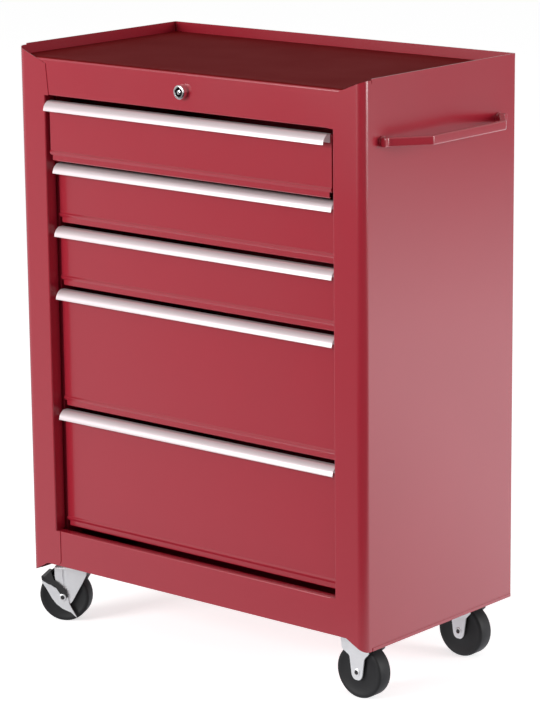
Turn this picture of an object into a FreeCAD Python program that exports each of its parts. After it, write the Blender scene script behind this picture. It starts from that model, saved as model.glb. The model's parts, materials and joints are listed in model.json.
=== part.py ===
# Five-drawer rolling tool cabinet. A folded sheet-steel carcass holds five drawers on ball slides,
# one key locks them all, a push handle stands on the right side, and the cabinet rolls on two
# rigid casters (right) and two braked swivel casters (left).
# Millimetres, +X right, +Y back, +Z up. Everything is drawn about the middle of the carcass
# footprint with the floor at Z = 0, and moved once at the end to the part's own origin.

import FreeCAD
import Part
import math
import os

# Sheet metal
SHEET = 1.0
BEND = 1.0
FIT = 0.4
TOUCH_FREE = 0.3

# Carcass
BODY_WIDTH = 616.0
BODY_DEPTH = 330.0
FRONT_BEND = 12.0
POST_WIDTH = 50.0
POST_RETURN = 18.0
REAR_FLANGE = 14.0
SKIRT = 16.0
BASE_RAIL_HEIGHT = 52.3
TOP_RAIL_HEIGHT = 52.4
TRAY_DEPTH = 14.3
RAIL_FLANGE = 14.0
RAIL_LIP = 6.0
RAIL_ROLL = 3.0
RAIL_END_GAP = 1.0
PAN_WALL = 25.0
TRAY_WALL = 15.0

# Post tabs that lap over the rails, measured inboard from the outside of the carcass
TAB_WIDTH = 57.5
TOP_TAB_WIDTH = 52.6
TOP_MITRE_DROP = 22.5
TOP_MITRE_START = 1.9
BOTTOM_TAB_CORNER = 8.0
BOTTOM_TAB_LIFT = 17.0
BOTTOM_MITRE_WIDTH = 32.0

# Hems along the side panels' top and bottom edges
HEM_START = 18.0
HEM_PROUD = 0.6
TOP_HEM = 6.0
BOTTOM_HEM = 4.5
BACK_HEM = 8.0

# Drawers, from the top down
DRAWER_PITCHES = [90.0, 90.0, 90.0, 175.0, 175.0]
FRONT_GAP = 5.0
TOP_GAP = 7.0
BOTTOM_GAP = 8.0
FRONT_SIDE_GAP = 5.0
DRAWER_TRAVEL = 200.0
AJAR = 15.5

# Drawer front and pull
PULL_SETBACK = 4.5
PULL_REACH = 15.5
PULL_HEIGHT = 13.4
PULL_FLAT = 5.5
PULL_BULGE = 2.6
PULL_WALL = 1.2
PULL_LEG = 12.0
PULL_HOOK = 2.0
FRONT_RETURN = 3.0
BEAD_TOP = 14.5
BEAD_CREST = 12.5
BEAD_BASE = 11.3
BEAD_FOOT = 5.2
BEAD_PROUD = 1.8
LIP_NOTCH = 4.0

# Drawer box
BOX_SHEET = 0.8
BOX_SHRINK = 25.0
BOX_LIFT = 10.0
BOX_REAR = 25.0
BOX_HEM = 6.0
BOX_CORNER = 2.0

# Ball slides
SLIDE_SPACE = 12.0
SLIDE_HEIGHT = 35.0
SLIDE_SHEET = 1.2
SLIDE_LIFT = 21.0
SLIDE_START = 11.0
SLIDE_END = 4.0
OUTER_LIP = 2.8
LIP_SETBACK = 2.1
BALL_DIAMETER = 4.1
BALL_PLAY = 0.05
BALL_FLAT = 0.5
BALL_PLACE = 6.2
BALL_END = 12.0
CAGE_END_GAP = 3.0
CAGE_SHEET = 0.4
CAGE_POCKET = 0.15
INNER_DEPTH = 10.0
INNER_LIP = 1.6

# Slide uprights
UPRIGHT_WIDTH = 28.0
UPRIGHT_FOOT = 10.0
UPRIGHT_INSET = 39.0
UPRIGHT_END_GAP = 1.0

# Lock and its linkage
LOCK_RING = 9.75
LOCK_PROUD = 9.0
LOCK_THREAD = 9.0
LOCK_DEPTH = 18.0
PLUG_RADIUS = 6.0
PLUG_POST = 3.2
PLUG_GROOVE = 7.0
PLUG_RECESS = 0.5
PLUG_TAIL = 6.0
KEYWAY_WIDTH = 2.4
KEYWAY_DEPTH = 3.0
NUT_RADIUS = 13.0
NUT_THICK = 4.0
RUNNING = 0.05
ROD_RADIUS = 4.0
SLEEVE_RADIUS = 6.5
SLEEVE_LENGTH = 12.0
CRANK_RADIUS = 10.0
CRANK_WIDTH = 10.0
CRANK_THICK = 2.5
CRANK_GAP = 1.0
CRANK_PIN = 2.0
PIN_PLAY = 0.6
BAR_WIDTH = 30.0
BAR_THICK = 2.0
BAR_BEHIND_DRAWER = 10.0
BAR_HEAD = 14.0
HOOK_WIDTH = 20.0
HOOK_ABOVE = 2.0
HOOK_TOOTH = 8.0
TOOTH_GAP = 4.0
GUIDE_HEIGHT = 15.0
GUIDE_WALL = 5.0
GUIDE_DROPS = [130.0, 460.0]
BRACKET_WIDTH = 30.0
BRACKET_FOOT = 14.0
BRACKET_SETBACK = 10.0

# Casters, whose wheels leave some headroom under the mounting plate
CASTER_HEIGHT = 95.0
WHEEL_HEADROOM = 20.0
WHEEL_WIDTH = 24.0
WHEEL_HUB = 10.5
WHEEL_HUB_LENGTH = 26.4
WHEEL_DISH = 2.0
TYRE_EDGE = 2.0
CASTER_INSET = 39.0
CASTER_FRONT_INSET = 48.0
CASTER_REAR_INSET = 55.0
SWIVEL_TRAIL = 14.0
SWIVEL_YAW = -154.0
PLATE_LENGTH = 70.0
PLATE_WIDTH = 50.0
PLATE_THICK = 2.5
PLATE_CORNER = 5.0
BOLT_SPACING_X = 58.0
BOLT_SPACING_Y = 36.0
BOLT_RADIUS = 3.0
BOLT_HEAD_RADIUS = 5.5
BOLT_HEAD_HEIGHT = 4.0
BOLT_HOLE_PLAY = 0.25
FORK_SHEET = 2.2
FORK_HALF_GAP = 13.5
FORK_TOP_SPREAD = 4.3
FORK_JOGGLE = 10.0
FORK_JOGGLE_UP = 22.5
FORK_FRONT = 23.0
FORK_SHOULDER_UP = 36.0
FORK_END_RADIUS = 11.0
FORK_FLUTE_WIDTH = 4.8
FORK_FLUTE_DEPTH = 0.8
FORK_FLUTE_UP = 14.0
FORK_FLUTE_FRONT = 3.2
RIGID_FLARE = [(29.0, 48.0), (26.0, 30.0), (17.0, 20.0)]
RACE_RADIUS = 20.0
RACE_HEIGHT = 4.0
RACE_GAP = 0.3
KINGPIN_RADIUS = 5.0
KINGPIN_HEAD = 9.0
KINGPIN_HEAD_HEIGHT = 2.5
KINGPIN_PLAY = 0.06
AXLE_RADIUS = 4.0
AXLE_PLAY = 0.08
AXLE_HEAD_RADIUS = 5.5
AXLE_HEAD_HEIGHT = 1.5

# Brake on the swivel casters. Its outlines are seen from the side, about the axle, as fractions
# of the wheel's radius: a pointed leaf, a cheek over it, and the pedal's line over the tread.
BRAKE_SHEET = 1.6
BRAKE_SIDE_GAP = 0.4
LEAF_ROUND = 2.0
LEAF = [
    (0.94, 0.56),
    (0.68, 0.33),
    (0.44, -0.08),
    (0.27, -0.29),
    (0.02, -0.47),
    (-0.32, -0.60),
    (-0.58, -0.83),
    (-0.37, -0.47),
    (-0.24, -0.22),
    (-0.20, 0.08),
    (-0.08, 0.22),
    (0.30, 0.36),
    (0.80, 0.66),
]
CHEEK_SHEET = 1.2
CHEEK = [
    (0.93, 0.58),
    (0.96, 0.79),
    (0.75, 0.76),
    (0.45, 1.01),
    (0.34, 0.70),
    (-0.12, 0.34),
    (-0.22, 0.04),
    (-0.12, -0.05),
    (0.03, 0.10),
    (0.53, 0.33),
    (0.67, 0.37),
]
PEDAL_SHEET = 2.0
PEDAL = [(0.44, 1.00), (0.74, 0.74), (0.96, 0.78)]

# Push handle
HANDLE_DROP = 83.0
HANDLE_MOUNT = 125.5
HANDLE_BEND = 79.0
HANDLE_REACH = 48.0
HANDLE_THICK = 8.0
HANDLE_TALL = 12.5
HANDLE_ROUND = 2.0
BOSS_RADIUS = 7.5
BOSS_LENGTH = 11.0
HANDLE_SCREW = 3.0
HANDLE_SCREW_HEAD = 5.5
HANDLE_SCREW_LENGTH = 9.0

# Small repeated screws, their holes and the axles' heads are drawn with this many sides
SHANK_SIDES = 8
RIVET_SIDES = 12

# Screws that hold the back panel
SCREW_RADIUS = 2.0
SCREW_HEAD = 4.0
SCREW_HEAD_HEIGHT = 1.6
SCREW_REACH = 6.0
SCREW_COUNT = 4
SCREW_END = 70.0

# Places worked out from the sizes above
HALF_WIDTH = BODY_WIDTH / 2
INSIDE_X = HALF_WIDTH - SHEET
FRONT_Y = -BODY_DEPTH / 2
BACK_Y = BODY_DEPTH / 2
BACK_INSIDE = BACK_Y - 2 * SHEET
WHEEL_RADIUS = (CASTER_HEIGHT - WHEEL_HEADROOM) / 2
CASTER_X = HALF_WIDTH - CASTER_INSET
CASTER_FRONT_Y = FRONT_Y + CASTER_FRONT_INSET
CASTER_REAR_Y = BACK_Y - CASTER_REAR_INSET
UPRIGHT_CENTRE = BACK_Y - UPRIGHT_INSET
PANEL_BOTTOM = CASTER_HEIGHT - SKIRT
OPENING_BOTTOM = CASTER_HEIGHT + BASE_RAIL_HEIGHT
OPENING_TOP = OPENING_BOTTOM + TOP_GAP + sum(DRAWER_PITCHES) - FRONT_GAP + BOTTOM_GAP
RAIL_TOP = OPENING_TOP + TOP_RAIL_HEIGHT
RIM_Z = RAIL_TOP + TRAY_DEPTH
POST_X = HALF_WIDTH - POST_WIDTH
TAB_X = HALF_WIDTH - TAB_WIDTH
RAIL_Y = FRONT_Y + SHEET
RAIL_END = HALF_WIDTH - FRONT_BEND - RAIL_END_GAP
CORNER_CLEAR_Y = FRONT_Y + FRONT_BEND + RAIL_END_GAP
TRAY_Z = RAIL_TOP
TRAY_FRONT = RAIL_Y + RAIL_FLANGE + 2 * SHEET + FIT
PANEL_X = INSIDE_X - FIT
FRONT_HALF = POST_X - FRONT_SIDE_GAP
PULL_Y = FRONT_Y + PULL_SETBACK
FACE_Y = PULL_Y + PULL_REACH
BOX_FRONT = FACE_Y + SHEET
BOX_BACK = BACK_Y - BOX_REAR
UPRIGHT_FACE = POST_X - TOUCH_FREE
BOX_X = UPRIGHT_FACE - SLIDE_SPACE
SLIDE_FRONT = FACE_Y + SLIDE_START
SLIDE_BACK = BOX_BACK - SLIDE_END
CAGE_LENGTH = SLIDE_BACK - SLIDE_FRONT - DRAWER_TRAVEL - 2 * CAGE_END_GAP
BALL_PLACE_Y = CAGE_LENGTH / 2 - BALL_END
RACE_OUT = SLIDE_HEIGHT / 2 - SLIDE_SHEET
BALL_HEIGHT = RACE_OUT - BALL_PLAY - BALL_DIAMETER / 2
RACE_IN = BALL_HEIGHT - BALL_DIAMETER / 2 - BALL_PLAY
LOCK_Z = OPENING_TOP + TOP_RAIL_HEIGHT / 2
BAR_Y = BOX_BACK + BAR_BEHIND_DRAWER
BAR_DROP = CRANK_RADIUS * math.sqrt(2)
AXLE_Z = WHEEL_RADIUS
HANDLE_Z = RIM_Z - HANDLE_DROP
FORK_TOP = CASTER_HEIGHT - PLATE_THICK
CROWN_TOP = FORK_TOP - 2 * RACE_HEIGHT - RACE_GAP
LEG_OUT = FORK_HALF_GAP + FORK_SHEET
BRAKE_IN = LEG_OUT + BRAKE_SIDE_GAP
BRAKE_OUT = BRAKE_IN + BRAKE_SHEET
CHEEK_OUT = BRAKE_OUT + CHEEK_SHEET

UP = FreeCAD.Vector(0, 0, 1)
BACK = FreeCAD.Vector(0, 1, 0)
RIGHT = FreeCAD.Vector(1, 0, 0)
ORIGIN = FreeCAD.Vector(0, 0, 0)
HEX_SIDES = 6
NODES = {}


# Shape helpers


def add(node, *solids):
    """Put solids under a node's name."""
    NODES.setdefault(node, []).extend(solids)


def box(x_span, y_span, z_span):
    """A block between three pairs of limits."""
    corner = FreeCAD.Vector(x_span[0], y_span[0], z_span[0])
    sizes = [span[1] - span[0] for span in (x_span, y_span, z_span)]
    return Part.makeBox(*sizes, corner)


def rod(radius, start, direction, length):
    """A cylinder from a start point along a direction."""
    return Part.makeCylinder(radius, length, FreeCAD.Vector(*start), direction)


def ring_points(sides, radius, height=0.0):
    """The corners of a regular outline, the first one repeated at the end."""
    turns = [2 * math.pi * step / sides for step in range(sides)]
    points = [FreeCAD.Vector(radius * math.cos(t), radius * math.sin(t), height) for t in turns]
    return points + points[:1]


def faceted(sides, radius, start, direction, length):
    """A straight prism with a regular outline: bolt heads, nuts and small plain shanks."""
    solid = Part.Face(Part.makePolygon(ring_points(sides, radius))).extrude(UP * length)
    solid.Placement = FreeCAD.Placement(FreeCAD.Vector(*start), FreeCAD.Rotation(UP, direction))
    return solid


def union(solids):
    """One solid out of several that share faces or overlap."""
    return solids[0].fuse(solids[1:]).removeSplitter().Solids[0]


def cut_all(solid, tools):
    """A solid with several tools taken out of it."""
    return solid.cut(tools).Solids[0]


def mirrored(solid):
    """The same piece on the other side of the cabinet."""
    return solid.mirror(ORIGIN, RIGHT)


def both_sides(solid):
    """A piece and its mirror image."""
    return [solid, mirrored(solid)]


def in_plane(plane, u, v):
    """A flat point as a point in space, on the plane through the origin."""
    places = {"xy": (u, v, 0), "yz": (0, u, v), "xz": (u, 0, v)}
    return FreeCAD.Vector(*places[plane])


def plane_normal(plane):
    """The direction in which an outline drawn in a plane is pulled."""
    return {"xy": UP, "yz": RIGHT, "xz": BACK}[plane]


def rounded_wire(points, radii, plane):
    """A closed outline whose corners are rounded by their own radii."""
    corners = [in_plane(plane, u, v) for u, v in points]
    starts = []
    ends = []
    arcs = []
    for index, corner in enumerate(corners):
        radius = radii[index]
        if radius == 0:
            starts.append(corner)
            ends.append(corner)
            arcs.append(None)
            continue
        inward = (corners[index - 1] - corner).normalize()
        outward = (corners[(index + 1) % len(corners)] - corner).normalize()
        half = inward.getAngle(outward) / 2
        reach = radius / math.tan(half)
        bisector = (inward + outward).normalize()
        middle = corner + bisector * (radius / math.sin(half) - radius)
        starts.append(corner + inward * reach)
        ends.append(corner + outward * reach)
        arcs.append(Part.Arc(starts[-1], middle, ends[-1]).toShape())
    edges = []
    for index, arc in enumerate(arcs):
        if arc is not None:
            edges.append(arc)
        following = starts[(index + 1) % len(corners)]
        if ends[index].distanceToPoint(following) > 1e-6:
            edges.append(Part.makeLine(ends[index], following))
    return Part.Wire(edges)


def prism(points, plane, span, radii=None):
    """A closed outline pulled along its plane's normal, from one level to another."""
    wire = rounded_wire(points, radii or [0] * len(points), plane)
    normal = plane_normal(plane)
    wire.translate(normal * span[0])
    return Part.Face(wire).extrude(normal * (span[1] - span[0]))


def bent_sheet(path, plane, span, bends, sheet=SHEET):
    """A folded sheet: the path is one face of it, and the metal lies on the path's left."""
    sides = []
    for start, end in zip(path[:-1], path[1:]):
        length = math.dist(start, end)
        sides.append(((start[1] - end[1]) / length, (end[0] - start[0]) / length))
    other = [(path[0][0] + sheet * sides[0][0], path[0][1] + sheet * sides[0][1])]
    path_radii = [0]
    other_radii = [0]
    for index, bend in enumerate(bends):
        before = sides[index]
        after = sides[index + 1]
        spread = 1 + before[0] * after[0] + before[1] * after[1]
        corner = path[index + 1]
        other.append(
            (
                corner[0] + sheet * (before[0] + after[0]) / spread,
                corner[1] + sheet * (before[1] + after[1]) / spread,
            )
        )
        turns_left = before[0] * after[1] - before[1] * after[0] > 0
        outer = bend + sheet if bend else 0
        path_radii.append(outer if turns_left else bend)
        other_radii.append(bend if turns_left else outer)
    other.append((path[-1][0] + sheet * sides[-1][0], path[-1][1] + sheet * sides[-1][1]))
    points = path + other[::-1]
    radii = path_radii + [0, 0] + other_radii[:0:-1] + [0]
    return prism(points, plane, span, radii)


# Carcass


def back_screw_places():
    """Where the screws go through the rear flanges."""
    x = HALF_WIDTH - REAR_FLANGE / 2
    first = CASTER_HEIGHT + SCREW_END
    step = (RIM_Z - SCREW_END - first) / (SCREW_COUNT - 1)
    return [(side * x, first + step * index) for side in (-1, 1) for index in range(SCREW_COUNT)]


def back_screw_holes():
    """Clearance holes for those screws."""
    radius = SCREW_RADIUS + BOLT_HOLE_PLAY
    start = BACK_INSIDE - SHEET
    places = back_screw_places()
    return [faceted(SHANK_SIDES, radius, (x, start, z), BACK, 4 * SHEET) for x, z in places]


def post_waste(kept, z_span, radii=None):
    """What has to come off the post and corner so that only a kept outline is left."""
    y_span = (FRONT_Y - SHEET, FRONT_Y + HEM_START)
    waste = box((TAB_X - SHEET, HALF_WIDTH + SHEET), y_span, z_span)
    return waste.cut(prism(kept, "xz", y_span, radii))


def side_panel():
    """Right-hand side: rear flange, side, rounded corner, post, tabs and the drawer-side return."""
    inside = FRONT_BEND - SHEET
    wrap = [
        (HALF_WIDTH, FRONT_Y),
        (HALF_WIDTH, BACK_Y),
        (HALF_WIDTH - REAR_FLANGE, BACK_Y),
    ]
    with_tab = [(TAB_X, FRONT_Y)] + wrap
    with_return = [(POST_X, FRONT_Y + POST_RETURN), (POST_X, FRONT_Y)] + wrap
    panel = union(
        [
            bent_sheet(with_tab, "xy", (PANEL_BOTTOM, OPENING_BOTTOM), [inside, BEND]),
            bent_sheet(with_return, "xy", (OPENING_BOTTOM, OPENING_TOP), [BEND, inside, BEND]),
            bent_sheet(with_tab, "xy", (OPENING_TOP, RIM_Z), [inside, BEND]),
        ]
    )
    beyond = HALF_WIDTH + 2 * SHEET
    top_outline = [
        (TAB_X, OPENING_TOP - SHEET),
        (beyond, OPENING_TOP - SHEET),
        (beyond, RIM_Z - TOP_MITRE_START),
        (HALF_WIDTH, RIM_Z - TOP_MITRE_START),
        (HALF_WIDTH - TOP_TAB_WIDTH, RIM_Z - TOP_MITRE_DROP),
    ]
    bottom_outline = [
        (TAB_X, OPENING_BOTTOM + SHEET),
        (TAB_X, PANEL_BOTTOM + BOTTOM_TAB_LIFT),
        (HALF_WIDTH - BOTTOM_MITRE_WIDTH, PANEL_BOTTOM + BOTTOM_TAB_LIFT),
        (HALF_WIDTH, PANEL_BOTTOM),
        (beyond, PANEL_BOTTOM),
        (beyond, OPENING_BOTTOM + SHEET),
    ]
    corner = [0, BOTTOM_TAB_CORNER, 0, 0, 0, 0]
    waste = [
        post_waste(top_outline, (OPENING_TOP, RIM_Z + SHEET)),
        post_waste(bottom_outline, (PANEL_BOTTOM - SHEET, OPENING_BOTTOM), corner),
    ]
    hem_x = (HALF_WIDTH - SHEET / 2, HALF_WIDTH + HEM_PROUD)
    hem_y = (FRONT_Y + HEM_START, BACK_Y - 2 * SHEET)
    top_hem = box(hem_x, hem_y, (RIM_Z - TOP_HEM, RIM_Z))
    bottom_hem = box(hem_x, hem_y, (PANEL_BOTTOM, PANEL_BOTTOM + BOTTOM_HEM))
    return union([cut_all(panel, waste), top_hem, bottom_hem])


def handle_hole(y):
    """Hole in the right-hand side for one handle screw."""
    radius = HANDLE_SCREW + BOLT_HOLE_PLAY
    return faceted(SHANK_SIDES, radius, (INSIDE_X - SHEET, y, HANDLE_Z), RIGHT, 4 * SHEET)


def back_panel():
    """Flat back with a folded top edge, inside the rear flanges."""
    half = INSIDE_X - BEND
    sheet = box((-half, half), (BACK_INSIDE, BACK_INSIDE + SHEET), (CASTER_HEIGHT, RIM_Z))
    hem_x = HALF_WIDTH - REAR_FLANGE - SHEET
    hem = box((-hem_x, hem_x), (BACK_INSIDE, BACK_Y), (RIM_Z - BACK_HEM, RIM_Z))
    return cut_all(union([sheet, hem]), back_screw_holes())


def caster_centres():
    """Where the four casters stand: (name, x, y)."""
    return [
        ("front_left", -CASTER_X, CASTER_FRONT_Y),
        ("rear_left", -CASTER_X, CASTER_REAR_Y),
        ("front_right", CASTER_X, CASTER_FRONT_Y),
        ("rear_right", CASTER_X, CASTER_REAR_Y),
    ]


def plate_bolt_places(x, y):
    """The four bolts of one caster."""
    half_x = BOLT_SPACING_X / 2
    half_y = BOLT_SPACING_Y / 2
    return [(x + i * half_x, y + j * half_y) for i in (-1, 1) for j in (-1, 1)]


def bolt_holes(x, y):
    """Clearance holes through a caster plate and the base pan."""
    radius = BOLT_RADIUS + BOLT_HOLE_PLAY
    start = FORK_TOP - SHEET
    length = PLATE_THICK + 3 * SHEET
    places = plate_bolt_places(x, y)
    return [faceted(SHANK_SIDES, radius, (u, v, start), UP, length) for u, v in places]


def base_pan():
    """Floor pan with four upturned walls, which carries the casters."""
    front = RAIL_Y + SHEET
    wall_top = CASTER_HEIGHT + PAN_WALL
    path = [
        (front, wall_top),
        (front, CASTER_HEIGHT),
        (BACK_INSIDE, CASTER_HEIGHT),
        (BACK_INSIDE, wall_top),
    ]
    pan = bent_sheet(path, "yz", (-RAIL_END, RAIL_END), [BEND, BEND])
    pieces = [pan]
    wing_y = (CORNER_CLEAR_Y, BACK_INSIDE - BEND - SHEET)
    wing = box((RAIL_END, PANEL_X), wing_y, (CASTER_HEIGHT, CASTER_HEIGHT + SHEET))
    wall = box((PANEL_X - SHEET, PANEL_X), wing_y, (CASTER_HEIGHT, wall_top))
    pieces += both_sides(wing) + both_sides(wall)
    holes = []
    for name, x, y in caster_centres():
        holes += bolt_holes(x, y)
    return cut_all(union(pieces), holes)


def base_rail():
    """Front rail under the drawers, with a folded top."""
    inner = RAIL_Y + RAIL_FLANGE
    path = [
        (inner, OPENING_BOTTOM - RAIL_LIP),
        (inner, OPENING_BOTTOM),
        (RAIL_Y, OPENING_BOTTOM),
        (RAIL_Y, CASTER_HEIGHT),
    ]
    return bent_sheet(path, "yz", (-RAIL_END, RAIL_END), [BEND, BEND])


def top_rail():
    """Front rail over the drawers, with a rolled top edge and a hole for the lock."""
    path = [
        (RAIL_Y + RAIL_FLANGE + 2 * SHEET, RAIL_TOP),
        (RAIL_Y, RAIL_TOP),
        (RAIL_Y, OPENING_TOP),
        (RAIL_Y + RAIL_FLANGE, OPENING_TOP),
    ]
    rail = bent_sheet(path, "yz", (-RAIL_END, RAIL_END), [RAIL_ROLL, BEND])
    hole = rod(LOCK_THREAD + BOLT_HOLE_PLAY, (0, RAIL_Y - SHEET, LOCK_Z), BACK, 3 * SHEET)
    return cut_all(rail, [hole])


def top_tray():
    """Tray floor level with the top rail's flange, with downturned walls and a strip under the flange."""
    wall_bottom = TRAY_Z - TRAY_WALL
    path = [
        (PANEL_X, wall_bottom),
        (PANEL_X, TRAY_Z),
        (-PANEL_X, TRAY_Z),
        (-PANEL_X, wall_bottom),
    ]
    tray = bent_sheet(path, "xz", (TRAY_FRONT, BACK_INSIDE), [BEND, BEND])
    front = RAIL_Y + SHEET + RAIL_ROLL
    lap = TRAY_FRONT + SHEET
    strip_z = (TRAY_Z - 2 * SHEET, TRAY_Z - SHEET)
    strip = box((-RAIL_END, RAIL_END), (front, lap), strip_z)
    inner = PANEL_X - SHEET
    wings = box((-inner, inner), (CORNER_CLEAR_Y, lap), strip_z)
    rear = box((-RAIL_END, RAIL_END), (BACK_INSIDE - SHEET, BACK_INSIDE), (wall_bottom, TRAY_Z))
    return union([tray, strip, wings, rear])


def slide_upright(centre):
    """Hat-section upright on the right-hand side, between the base pan and the tray."""
    low = centre - UPRIGHT_WIDTH / 2
    high = centre + UPRIGHT_WIDTH / 2
    web = UPRIGHT_FACE + SHEET
    path = [
        (INSIDE_X, low - UPRIGHT_FOOT),
        (INSIDE_X, low),
        (web, low),
        (web, high),
        (INSIDE_X, high),
        (INSIDE_X, high + UPRIGHT_FOOT),
    ]
    bottom = CASTER_HEIGHT + PAN_WALL + UPRIGHT_END_GAP
    top = TRAY_Z - TRAY_WALL - UPRIGHT_END_GAP
    return bent_sheet(path, "xy", (bottom, top), [0] * 4)


def carcass():
    """All the fixed sheet-metal panels."""
    side = side_panel()
    screw_holes = back_screw_holes()
    handle_holes = [handle_hole(y) for y in (-HANDLE_MOUNT, HANDLE_MOUNT)]
    add("side_panel_left", cut_all(mirrored(side), screw_holes))
    add("side_panel_right", cut_all(side, screw_holes + handle_holes))
    add("back_panel", back_panel())
    add("base_pan", base_pan())
    add("base_rail", base_rail())
    add("top_rail", top_rail())
    add("top_tray", top_tray())
    for centre in (-UPRIGHT_CENTRE, UPRIGHT_CENTRE):
        add("slide_uprights", *both_sides(slide_upright(centre)))


def panel_screws():
    """Pan-head screws through the rear flanges into the back panel."""
    for x, z in back_screw_places():
        head = faceted(SHANK_SIDES, SCREW_HEAD, (x, BACK_Y, z), BACK, SCREW_HEAD_HEIGHT)
        start = (x, BACK_Y - SCREW_REACH, z)
        shank = faceted(SHANK_SIDES, SCREW_RADIUS, start, BACK, SCREW_REACH)
        add("panel_screws", union([head, shank]))


# Push handle


def side_handle():
    """Flat bar bent away from the side, with a round boss at each end."""
    near = HALF_WIDTH + BOSS_LENGTH
    far = HALF_WIDTH + HANDLE_REACH
    path = [
        (near, -HANDLE_MOUNT - BOSS_RADIUS),
        (near, -HANDLE_MOUNT),
        (far, -HANDLE_BEND),
        (far, HANDLE_BEND),
        (near, HANDLE_MOUNT),
        (near, HANDLE_MOUNT + BOSS_RADIUS),
    ]
    half = HANDLE_TALL / 2
    z_span = (HANDLE_Z - half, HANDLE_Z + half)
    bar = bent_sheet(path, "xy", z_span, [0, HANDLE_THICK, HANDLE_THICK, 0], HANDLE_THICK)
    flat = [edge for edge in bar.Edges if edge.BoundBox.ZLength < SHEET]
    bar = bar.makeChamfer(HANDLE_ROUND, flat)
    pieces = [bar]
    for y in (-HANDLE_MOUNT, HANDLE_MOUNT):
        length = BOSS_LENGTH - HANDLE_ROUND
        pieces.append(rod(BOSS_RADIUS, (HALF_WIDTH, y, HANDLE_Z), RIGHT, length))
    threads = []
    for y in (-HANDLE_MOUNT, HANDLE_MOUNT):
        depth = HANDLE_SCREW_LENGTH - SHEET + TOUCH_FREE
        start = (HALF_WIDTH, y, HANDLE_Z)
        threads.append(faceted(SHANK_SIDES, HANDLE_SCREW, start, RIGHT, depth))
    return cut_all(union(pieces), threads)


def handle():
    """Handle and the screws that hold it from inside."""
    add("side_handle", side_handle())
    for y in (-HANDLE_MOUNT, HANDLE_MOUNT):
        start = (INSIDE_X, y, HANDLE_Z)
        head = faceted(SHANK_SIDES, HANDLE_SCREW_HEAD, start, -RIGHT, HANDLE_SCREW)
        shank = faceted(SHANK_SIDES, HANDLE_SCREW, start, RIGHT, HANDLE_SCREW_LENGTH)
        add("handle_screws", union([head, shank]))


# Drawers


def drawer_levels():
    """For each drawer, its front's top and bottom and its box's top and bottom."""
    levels = []
    top = OPENING_TOP - TOP_GAP
    for pitch in DRAWER_PITCHES:
        bottom = top - pitch + FRONT_GAP
        box_bottom = bottom + BOX_LIFT
        box_top = box_bottom + pitch - BOX_SHRINK
        levels.append((top, bottom, box_top, box_bottom))
        top = top - pitch
    return levels


def drawer_box(box_top, box_bottom):
    """A folded tub of floor and sides with hemmed tops, and the end walls that are welded into it."""
    path = [(-BOX_X, box_top), (-BOX_X, box_bottom), (BOX_X, box_bottom), (BOX_X, box_top)]
    tub = bent_sheet(path, "xz", (BOX_FRONT, BOX_BACK), [BEND, BEND], BOX_SHEET)
    inner = BOX_X - BOX_SHEET
    wall_spans = [(BOX_FRONT, BOX_FRONT + BOX_SHEET), (BOX_BACK - BOX_SHEET, BOX_BACK)]
    hem_y = (wall_spans[0][1], wall_spans[1][0])
    hem = box((inner - BOX_SHEET, inner), hem_y, (box_top - BOX_HEM, box_top))
    floor = box_bottom + BOX_SHEET
    outline = [
        (-inner, box_top),
        (-inner, floor + BOX_CORNER),
        (-inner + BOX_CORNER, floor),
        (inner - BOX_CORNER, floor),
        (inner, floor + BOX_CORNER),
        (inner, box_top),
    ]
    walls = [prism(outline, "xz", span) for span in wall_spans]
    return [union([tub] + both_sides(hem))] + walls


def drawer_front(top, bottom):
    """Face sheet with returns all round, a pressed bead and a lip with notched ends."""
    back = FACE_Y + FRONT_RETURN
    face_top = top - PULL_WALL
    path = [
        (back, face_top),
        (FACE_Y, face_top),
        (FACE_Y, bottom + BEAD_TOP),
        (FACE_Y - BEAD_PROUD, bottom + BEAD_CREST),
        (FACE_Y - BEAD_PROUD, bottom + BEAD_BASE),
        (FACE_Y, bottom + BEAD_FOOT),
        (FACE_Y, bottom),
        (back, bottom),
    ]
    face = bent_sheet(path, "yz", (-FRONT_HALF, FRONT_HALF), [BEND, 0, 0, 0, 0, BEND])
    x_span = (FRONT_HALF - SHEET, FRONT_HALF)
    z_span = (bottom + BEAD_FOOT, face_top)
    side = box(x_span, (FACE_Y + SHEET / 2, back), z_span)
    notch_x = (FRONT_HALF - LIP_NOTCH, FRONT_HALF + SHEET)
    notch = box(notch_x, (FACE_Y - SHEET, back + SHEET), (bottom - SHEET, bottom + BEAD_FOOT))
    return cut_all(union([face] + both_sides(side)), both_sides(notch))


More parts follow.
